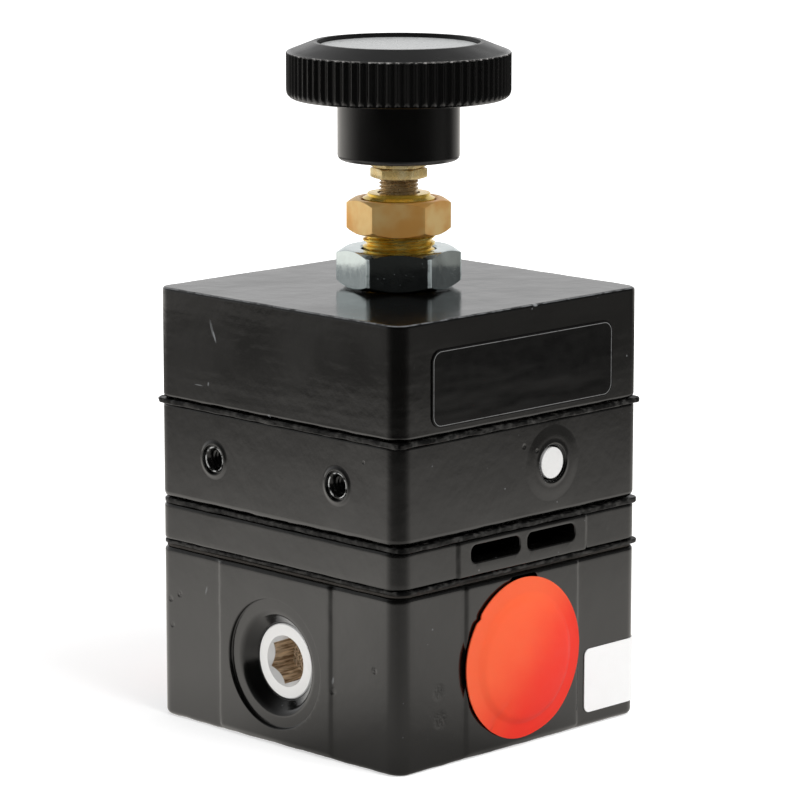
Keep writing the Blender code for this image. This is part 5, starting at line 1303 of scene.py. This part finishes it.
def body_paint(name, streaks=False, wear_and_highlight_level=None, bare_holes=False):
    """Glossy black stove paint over a casting, with orange peel, a few specks and worn edges. The pale band
    along a given edge level is partly wear and partly a painted highlight.
    """
    paint = Finish(name, IOR=1.7)
    marks = paint.maths("MAXIMUM", paint.specks(2.2, 0.10), paint.specks(1.1, 0.05))
    shade = paint.times(marks, 0.35)
    # A pale broken band just under the given edge level: partly wear, partly a painted highlight of the
    # rounded edge.
    if wear_and_highlight_level:
        wear_and_highlight = paint.band(paint.axis("Z"), wear_and_highlight_level - 0.12 * MM, 0.05 * MM, 0.06 * MM)
        wear_and_highlight = paint.times(wear_and_highlight, paint.ramp(paint.noise(1.5, 4), 0.35, 0.6, 0.1, 0.5))
        shade = paint.maths("MAXIMUM", shade, wear_and_highlight)
    for place, size, turn, strength in MARKS:
        shade = paint.maths("MAXIMUM", shade, paint.times(paint.spot(place, size, turn), strength))
    colour = paint.mix(shade, (0.002, 0.0019, 0.0017), (0.3, 0.31, 0.32))
    if bare_holes:
        bare = 0.0
        for side in (-1, 1):
            away = paint.off_axis("YZ", side * HOLE_PLACE, RING_BOTTOM + HOLE_LEVEL)
            bare = paint.maths("MAXIMUM", bare, paint.band(away, HOLE_RIDGE, 0.1 * MM, 0.1 * MM))
        outer = paint.ramp(paint.axis("X"), -HALF_WIDTH + 0.4 * MM, -HALF_WIDTH + 0.7 * MM, 1.0, 0.0)
        bare = paint.times(bare, outer, paint.ramp(paint.noise(1.2, 4), 0.4, 0.55))
        colour = paint.mix(bare, colour, (0.85, 0.86, 0.85))
        paint.set(Metallic=paint.times(bare, 0.5))
    rough = paint.ramp(paint.noise(14, 3), 0.3, 0.7, 0.13, 0.2)
    paint.set(Base_Color=colour, Roughness=paint.maths("ADD", rough, paint.times(marks, 0.2)))
    if streaks:
        below = paint.ramp(paint.axis("Z"), BONNET_TOP - 4 * MM, BONNET_TOP - 1 * MM, 1.0, 0.0)
        paint.bump(paint.times(paint.noise(2.6, 1.5, (7, 7, 1)), below), 0.04)
    dents = 0.0
    for place, size in DENTS:
        dents = paint.maths("ADD", dents, paint.spot(place, (size, size, size)))
    ragged = paint.ramp(paint.noise(0.7, 3), 0.3, 0.6, 0.3, 1.0)
    paint.bump(paint.times(dents, ragged, -1.0), 0.07)
    paint.bump(paint.noise(1.3, 2), 0.016)
    paint.bump(paint.noise(11, 2), 0.12)
    return paint.material


def phenolic(name):
    """Moulded thermoset with a high gloss. A pale broken band along the flutes' top ends is partly wear and
    partly a painted highlight, and a fainter pale band on the hub's lower lip is a painted highlight.
    """
    finish = Finish(name, IOR=1.55)
    height = finish.axis("Z")
    cone = finish.ramp(height, RIM_TOP + 0.1 * MM, RIM_TOP + 0.4 * MM)
    # Pale band along the rim's top edge: partly wear, partly a painted highlight of the rounded edge.
    rim_wear_and_highlight = finish.band(height, RIM_TOP - 0.03 * MM, 0.07 * MM, 0.1 * MM)
    broken = finish.ramp(finish.noise(0.8, 4), 0.4, 0.62, 0.15, 1.0)
    # Pale band on the hub's lower lip: a painted highlight.
    lip = finish.band(height, KNOB_BOTTOM + 0.3 * MM, 0.12 * MM, 0.25 * MM)
    wear_and_highlight = finish.maths("MAXIMUM", finish.times(rim_wear_and_highlight, broken), finish.times(lip, 0.2))
    rough = finish.ramp(finish.noise(6, 3), 0.3, 0.7, 0.16, 0.26)
    rough = finish.maths("ADD", rough, finish.times(cone, 0.1))
    finish.set(Base_Color=finish.mix(wear_and_highlight, (0.002, 0.002, 0.002), (0.32, 0.31, 0.3)), Roughness=rough)
    finish.bump(finish.noise(1.1, 2), 0.006, 0.6)
    return finish.material


def zinc_plate(name):
    """Bright bluish zinc with soft cloudy spots and rubbed corners."""
    finish = Finish(name)
    cloud = finish.noise(1.4, 5, roughness=0.6)
    corner = LOCK_NUT_FLATS / math.sqrt(3)
    rubbed = finish.ramp(finish.off_axis("XY", 0.0, 0.0), corner - 0.3 * MM, corner - 0.16 * MM)
    rubbed = finish.times(rubbed, finish.ramp(finish.noise(1.5, 3), 0.3, 0.6, 0.5, 1.0))
    rubbed = finish.maths("MAXIMUM", rubbed, finish.specks(0.7, 0.5))
    finish.set(Metallic=finish.ramp(rubbed, 0.0, 1.0, 1.0, 0.5))
    finish.set(Base_Color=finish.mix(cloud, (0.56, 0.64, 0.64), (0.74, 0.82, 0.82)))
    finish.set(Roughness=finish.ramp(cloud, 0.3, 0.7, 0.1, 0.2))
    finish.bump(finish.noise(0.7, 4), 0.006)
    finish.bump(finish.noise(8, 1), 0.16)
    return finish.material


def nickel_plug(name):
    """Bright plated outside. The broached socket shows a browner metal with drawn streaks."""
    finish = Finish(name, Metallic=0.2)
    depth = finish.maths("SUBTRACT", PAD_FACE - PLUG_SINK, finish.maths("ABSOLUTE", finish.axis("X")))
    away = finish.off_axis("YZ", 0.0, GAUGE_LEVEL)
    past_mouth = finish.maths("MULTIPLY_ADD", depth, SOCKET_MOUTH_REACH / SOCKET_MOUTH_DEPTH, away)
    inside = finish.times(
        finish.ramp(past_mouth, SOCKET_MOUTH + 0.03 * MM, SOCKET_MOUTH + 0.12 * MM),
        finish.ramp(depth, 0.1 * MM, 0.3 * MM),
        finish.ramp(away, SOCKET_MOUTH, SOCKET_MOUTH + 0.2 * MM, 1.0, 0.0),
    )
    streak = finish.ramp(finish.noise(0.4, 3, (8, 1, 1)), 0.3, 0.7)
    brown = finish.mix(streak, (0.2, 0.12, 0.06), (0.95, 0.77, 0.55))
    finish.set(Base_Color=finish.mix(inside, (0.96, 0.96, 0.95), brown))
    finish.set(Roughness=finish.ramp(inside, 0.0, 1.0, 0.2, 0.35))
    finish.bump(finish.noise(0.8, 3), 0.006)
    return finish.material


def vinyl(name):
    """Dipped vinyl, slightly see-through, with an uneven soft gloss. Its colour holds painted light: lighter
    orange upwards and towards -X, deeper red downwards and towards +X, and a painted shade of dark red near
    the body's face.
    """
    finish = Finish(name, IOR=1.5, Specular_IOR_Level=0.25, Subsurface_Weight=0.25, Subsurface_Scale=1.2 * MM)
    finish.shader.inputs["Subsurface Radius"].default_value = (1.0, 0.25, 0.1)
    # Painted light: the colour runs from deep red to lighter orange as the height grows and X falls, with
    # noise, standing in for a light from above and -X.
    slant = finish.maths("SUBTRACT", finish.maths("ABSOLUTE", finish.axis("Z")), finish.axis("X"))
    slant = finish.maths("MULTIPLY_ADD", finish.noise(8, 3), 9 * MM, slant)
    tone = finish.ramp(slant, 8 * MM, 32 * MM)
    colour = finish.mix(tone, (0.85, 0.028, 0.012), (0.95, 0.13, 0.045))
    # Painted shade: within 0.2 mm of the pad's face, on the stem and under the flange, the colour turns dark
    # red.
    out = finish.ramp(finish.maths("ABSOLUTE", finish.axis("Y")), PAD_FACE + 0.2 * MM, PAD_FACE + 0.45 * MM)
    finish.set(Base_Color=finish.mix(out, (0.1, 0.006, 0.004), colour))
    finish.set(Roughness=finish.ramp(finish.noise(2.5, 3), 0.3, 0.7, 0.38, 0.5))
    finish.bump(finish.noise(2.2, 3), 0.03, 0.8)
    finish.bump(finish.noise(0.3, 2), 0.004)
    return finish.material


def label_film(name):
    """Black film with a thin pale outline set a little inside its edge."""
    finish = Finish(name, IOR=1.42)
    squares = []
    for axis, middle, size in (("X", 0.0, LABEL_WIDTH), ("Z", LABEL_LEVEL, LABEL_HEIGHT)):
        away = finish.maths("ABSOLUTE", finish.maths("SUBTRACT", finish.axis(axis), middle))
        past = finish.maths("MAXIMUM", finish.maths("SUBTRACT", away, size / 2 - LABEL_RADIUS), 0.0)
        squares.append(finish.times(past, past))
    inset = finish.maths("SUBTRACT", LABEL_RADIUS, finish.maths("SQRT", finish.maths("ADD", *squares)))
    line = finish.band(inset, 0.38 * MM, 0.03 * MM, 0.05 * MM)
    line = finish.times(line, finish.ramp(finish.noise(1, 3), 0.2, 0.5, 0.5, 1.0))
    finish.set(Base_Color=finish.mix(line, (0.003, 0.003, 0.003), (0.2, 0.2, 0.2)))
    finish.set(Roughness=finish.ramp(finish.noise(3, 3), 0.3, 0.7, 0.1, 0.18))
    finish.bump(finish.noise(6, 2, (3, 1, 1)), 0.15)
    return finish.material


def make_object():
    brass = turned_metal("brass_turned", (0.92, 0.58, 0.07), (1.0, 0.75, 0.2), (0.1, 0.2), metallic=0.78)
    satin = turned_metal("brass_satin", (0.9, 0.46, 0.12), (1.0, 0.7, 0.29), (0.3, 0.4), 0.008, 7, 0.64)
    plain = turned_metal("brass_plain", (0.94, 0.68, 0.26), (1.0, 0.83, 0.45), (0.22, 0.32), 0.002, 3, 0.42)
    steel = turned_metal("bright_steel", (0.42, 0.42, 0.43), (0.62, 0.62, 0.62), (0.25, 0.4))
    alloy = turned_metal("aluminium_turned", (0.66, 0.66, 0.67), (0.86, 0.86, 0.86), (0.2, 0.35))
    bronze = turned_metal("dark_bronze", (0.38, 0.26, 0.12), (0.62, 0.46, 0.25), (0.2, 0.35), metallic=0.75)
    rubber = mottled("rubber_sheet", ((0.002, 0.002, 0.002), (0.035, 0.034, 0.032)), (1.2, 4), (0.3, 0.5),
                     (2, 4), (0.45, 0.7), (((0.25, 3), 0.02), ((1.5, 3), 0.15)), IOR=1.36)
    fibre = mottled("gasket_sheet", ((0.02, 0.018, 0.016), (0.07, 0.06, 0.05)), (0.4, 4),
                    bumps=(((0.15, 3), 0.02),), Roughness=0.8)
    drawn = mottled("drawn_aluminium", ((0.84, 0.84, 0.83), (0.92, 0.92, 0.91)), (0.6, 4), (0.4, 0.55),
                    bumps=(((0.2, 3), 0.004),), Metallic=0.25)
    blackened = mottled("blackened_steel", ((0.02, 0.02, 0.022), (0.07, 0.07, 0.075)), (0.8, 4), (0.3, 0.5),
                        bumps=(((0.2, 3), 0.006),), Metallic=1.0)
    disc = mottled("disc_grey_plate", ((0.47, 0.48, 0.48), (0.56, 0.57, 0.57)), (1.5, 5, (1, 1, 1), 0.65),
                   (0.25, 0.4))
    paper = mottled("white_paper", ((0.92, 0.92, 0.91), (0.95, 0.95, 0.95)), (2.5, 4),
                    bumps=(((0.25, 3), 0.004),), IOR=1.45, Roughness=0.4)
    paint = body_paint("black_paint")

    make_base(paint)
    make_exhaust_ring(paint)
    make_upper_ring(body_paint("black_paint_rubbed", bare_holes=True))
    # The bonnet's paint has a pale band at its top edge, partly wear and partly a painted highlight.
    make_bonnet(body_paint("black_paint_streaked", streaks=True, wear_and_highlight_level=BONNET_TOP))
    make_sheets(rubber, fibre)
    make_gauge_plugs(nickel_plug("plated_plug"))
    make_port_caps(vinyl("red_vinyl_dip"))
    make_bottom_plug(brass, rubber)
    make_sealing_plug(drawn)
    make_body_screws(blackened)
    make_springs(steel)
    make_bushing(brass)
    make_nuts(zinc_plate("zinc_bright"), satin)
    make_spindle(bronze)
    make_small_nut_and_insert(plain)
    make_knob(phenolic("moulded_phenolic"), disc)
    make_label(label_film("label_black_film"))
    make_sticker(paper)

    kept = {
        brass: ("pilot_nozzle", "bleed_restrictor", "exhaust_seat", "valve_seat", "main_valve",
                "flapper_bolt"),
        alloy: ("relay_hub", "lower_relay_plate", "upper_relay_plate", "relay_top_plate", "control_plate",
                "flapper_washer"),
        steel: ("relay_nut", "control_nut", "upper_spring_rest", "thrust_ball"),
        rubber: ("valve_disc",),
    }
    for material, names in kept.items():
        for name in names:
            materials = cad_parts[name].data.materials
            materials.clear()
            materials.append(material)


# Stage, lights and camera

# The studio as metal and gloss see it: (degrees round from the camera's side, brightness)
SURROUND = (
    (-180, 1.0), (-120, 1.0), (-105, 0.7), (-91, 0.38), (-78, 0.16), (-60, 0.08), (-35, 0.025), (0, 0.02),
    (35, 0.025), (60, 0.05), (75, 0.13), (90, 0.16), (104, 0.09), (114, 0.09), (127, 0.37), (147, 0.65),
    (165, 1.0), (180, 1.0),
)
OVERHEAD = ((0, 1.0), (0.1, 0.95), (0.19, 0.78), (0.3, 0.75), (0.5, 0.5), (0.75, 0.2), (1, 0.15))
# The same on the floor near the object, and how bright the floor is at a distance from it
NEAR_SURROUND = ((-180, 0.9), (-75, 1.08), (-35, 0.5), (0, 0.39), (35, 0.45), (75, 0.85), (180, 0.8))
FLOOR_FALL = (
    (0, 0.65), (0.035, 0.78), (0.07, 1.0), (0.13, 1.0), (0.2, 0.75), (0.28, 0.46), (0.36, 0.22), (0.4, 0.07),
    (1, 0.07),
)
FLOOR_END = ((0, 0), (0.43, 0), (0.47, 1), (1, 1))
FLOOR_GLOW = ((0, 0.5), (0.1, 0.5), (0.4, 1), (1, 1))
CAMERA_SIDE = ((-180, 0), (-70, 0), (-35, 1), (35, 1), (70, 0), (180, 0))
GLOSS_LEVEL = 1.15
FLOOR_TINT = (1.0, 0.965, 0.91, 1)
FLOOR_COLOUR = (0.8, 0.8, 0.8, 1)
FLOOR_LEVEL = -0.05 * MM
AMBIENT_LEVEL = 0.5

# Soft square lamps: azimuth and elevation in degrees, distance, size and power
LAMPS = {
    "key_lamp": (5, 50, 0.9, 0.5, 5.0),
    "left_lamp": (-110, 25, 0.9, 0.6, 1.5),
    "right_lamp": (70, 20, 0.9, 0.6, 1.5),
}


def facing(azimuth, elevation):
    """The direction from the object at these angles. Azimuth 0 is the front, and below 0 the left side."""
    flat = math.cos(elevation)
    return Vector((math.sin(azimuth) * flat, -math.cos(azimuth) * flat, math.sin(elevation)))


class Light(Nodes):
    """The nodes of the world and of the floor."""

    def between(self, share, first, second):
        return self.maths("MULTIPLY_ADD", share, self.maths("SUBTRACT", second, first), first)

    def curve(self, value, points):
        """A value's brightness along points of (value, brightness)."""
        low, high = points[0][0], points[-1][0]
        share = self.add("MapRange", value, low, high).outputs[0]
        node = self.add("ValToRGB", share)
        elements = node.color_ramp.elements
        for _ in points[2:]:
            elements.new(0.5)
        for element, (place, level) in zip(elements, points):
            element.position = (place - low) / (high - low)
            element.color = (level, level, level, 1)
        return self.add("SeparateColor", node.outputs[0]).outputs[0]

    def azimuth(self, direction):
        """Degrees round from the camera's side, positive towards the front's right end."""
        turned_round = self.add("VectorRotate", direction, rotation_type="Z_AXIS")
        turned_round.inputs["Angle"].default_value = -CAMERA_AZIMUTH
        parts = self.add("SeparateXYZ", turned_round.outputs[0]).outputs
        return self.maths("DEGREES", self.maths("ARCTAN2", parts[0], self.times(parts[1], -1.0)))


def make_world():
    """White to the camera, even light on matt surfaces, and bright sides for gloss and metal."""
    world = bpy.data.worlds.new("studio")
    bpy.context.scene.world = world
    world.use_nodes = True
    world.cycles.sampling_method = "NONE"
    light = Light(world.node_tree)
    direction = light.add("TexCoord").outputs["Generated"]
    up = light.add("SeparateXYZ", direction).outputs[2]
    level = light.times(light.curve(light.azimuth(direction), SURROUND), light.curve(up, OVERHEAD))
    rays = light.add("LightPath").outputs
    strength = light.between(rays["Is Glossy Ray"], AMBIENT_LEVEL, level)
    strength = light.between(rays["Is Camera Ray"], strength, 1.0)
    strength = light.between(rays["Is Transmission Ray"], strength, 1.0)
    background = light.tree.nodes["Background"]
    light.connect((1, 1, 1, 1), background.inputs["Color"])
    light.connect(strength, background.inputs["Strength"])


def make_floor():
    """A pale floor that keeps the object's shadow. Gloss sees it fade with the distance from the object."""
    bpy.ops.mesh.primitive_plane_add(size=6, location=(0, 0, FLOOR_LEVEL))
    floor = bpy.context.object
    floor.name = "floor"
    material = bpy.data.materials.new("pale_floor")
    material.use_nodes = True
    material.cycles.emission_sampling = "NONE"
    floor.data.materials.append(material)
    light = Light(material.node_tree)
    place = light.add("TexCoord").outputs["Object"]
    distance = light.add("VectorMath", place, operation="LENGTH").outputs["Value"]
    azimuth = light.azimuth(place)
    fall = light.curve(distance, FLOOR_FALL)
    fall = light.times(fall, light.between(light.curve(azimuth, CAMERA_SIDE), 1.0, fall))
    near = light.times(light.curve(azimuth, NEAR_SURROUND), fall)
    level = light.between(light.curve(distance, FLOOR_END), near, light.curve(azimuth, SURROUND))
    rays = light.add("LightPath").outputs
    glow = light.times(light.curve(distance, FLOOR_GLOW), rays["Is Camera Ray"])
    seen = light.add("AddShader", light.add("BsdfDiffuse", FLOOR_COLOUR).outputs[0],
                     light.add("Emission", (1, 1, 1, 1), glow).outputs[0])
    reflected = light.add("Emission", FLOOR_TINT, light.times(level, GLOSS_LEVEL))
    mix = light.add("MixShader", rays["Is Glossy Ray"], seen.outputs[0], reflected.outputs[0])
    light.connect(mix.outputs[0], light.tree.nodes["Material Output"].inputs["Surface"])


def make_lamp(name, azimuth, elevation, distance, size, power):
    """A soft square lamp that faces the object and that gloss doesn't see."""
    direction = facing(azimuth * DEGREE, elevation * DEGREE)
    data = bpy.data.lights.new(name, "AREA")
    data.shape = "SQUARE"
    data.size = size
    data.energy = power
    lamp = bpy.data.objects.new(name, data)
    lamp.location = CAMERA_TARGET + direction * distance
    lamp.rotation_euler = direction.to_track_quat("Z", "Y").to_euler()
    lamp.visible_camera = False
    lamp.visible_glossy = False
    bpy.context.scene.collection.objects.link(lamp)


def make_camera():
    back = facing(CAMERA_AZIMUTH, CAMERA_ELEVATION)
    right = Vector((0, 0, 1)).cross(back).normalized()
    place = CAMERA_TARGET + back * CAMERA_DISTANCE
    data = bpy.data.cameras.new("camera")
    data.sensor_width = 36
    data.lens = CAMERA_LENS
    data.shift_x, data.shift_y = CAMERA_SHIFT
    data.clip_start = 0.01
    camera = bpy.data.objects.new("camera", data)
    turn = Matrix((right, back.cross(right), back)).transposed().to_4x4()
    camera.matrix_world = Matrix.Translation(place) @ turn
    bpy.context.scene.collection.objects.link(camera)
    bpy.context.scene.camera = camera


def main():
    make_object()
    make_world()
    make_floor()
    for name, values in LAMPS.items():
        make_lamp(name, *values)
    make_camera()
    bpy.context.scene.view_settings.view_transform = "Standard"


main()
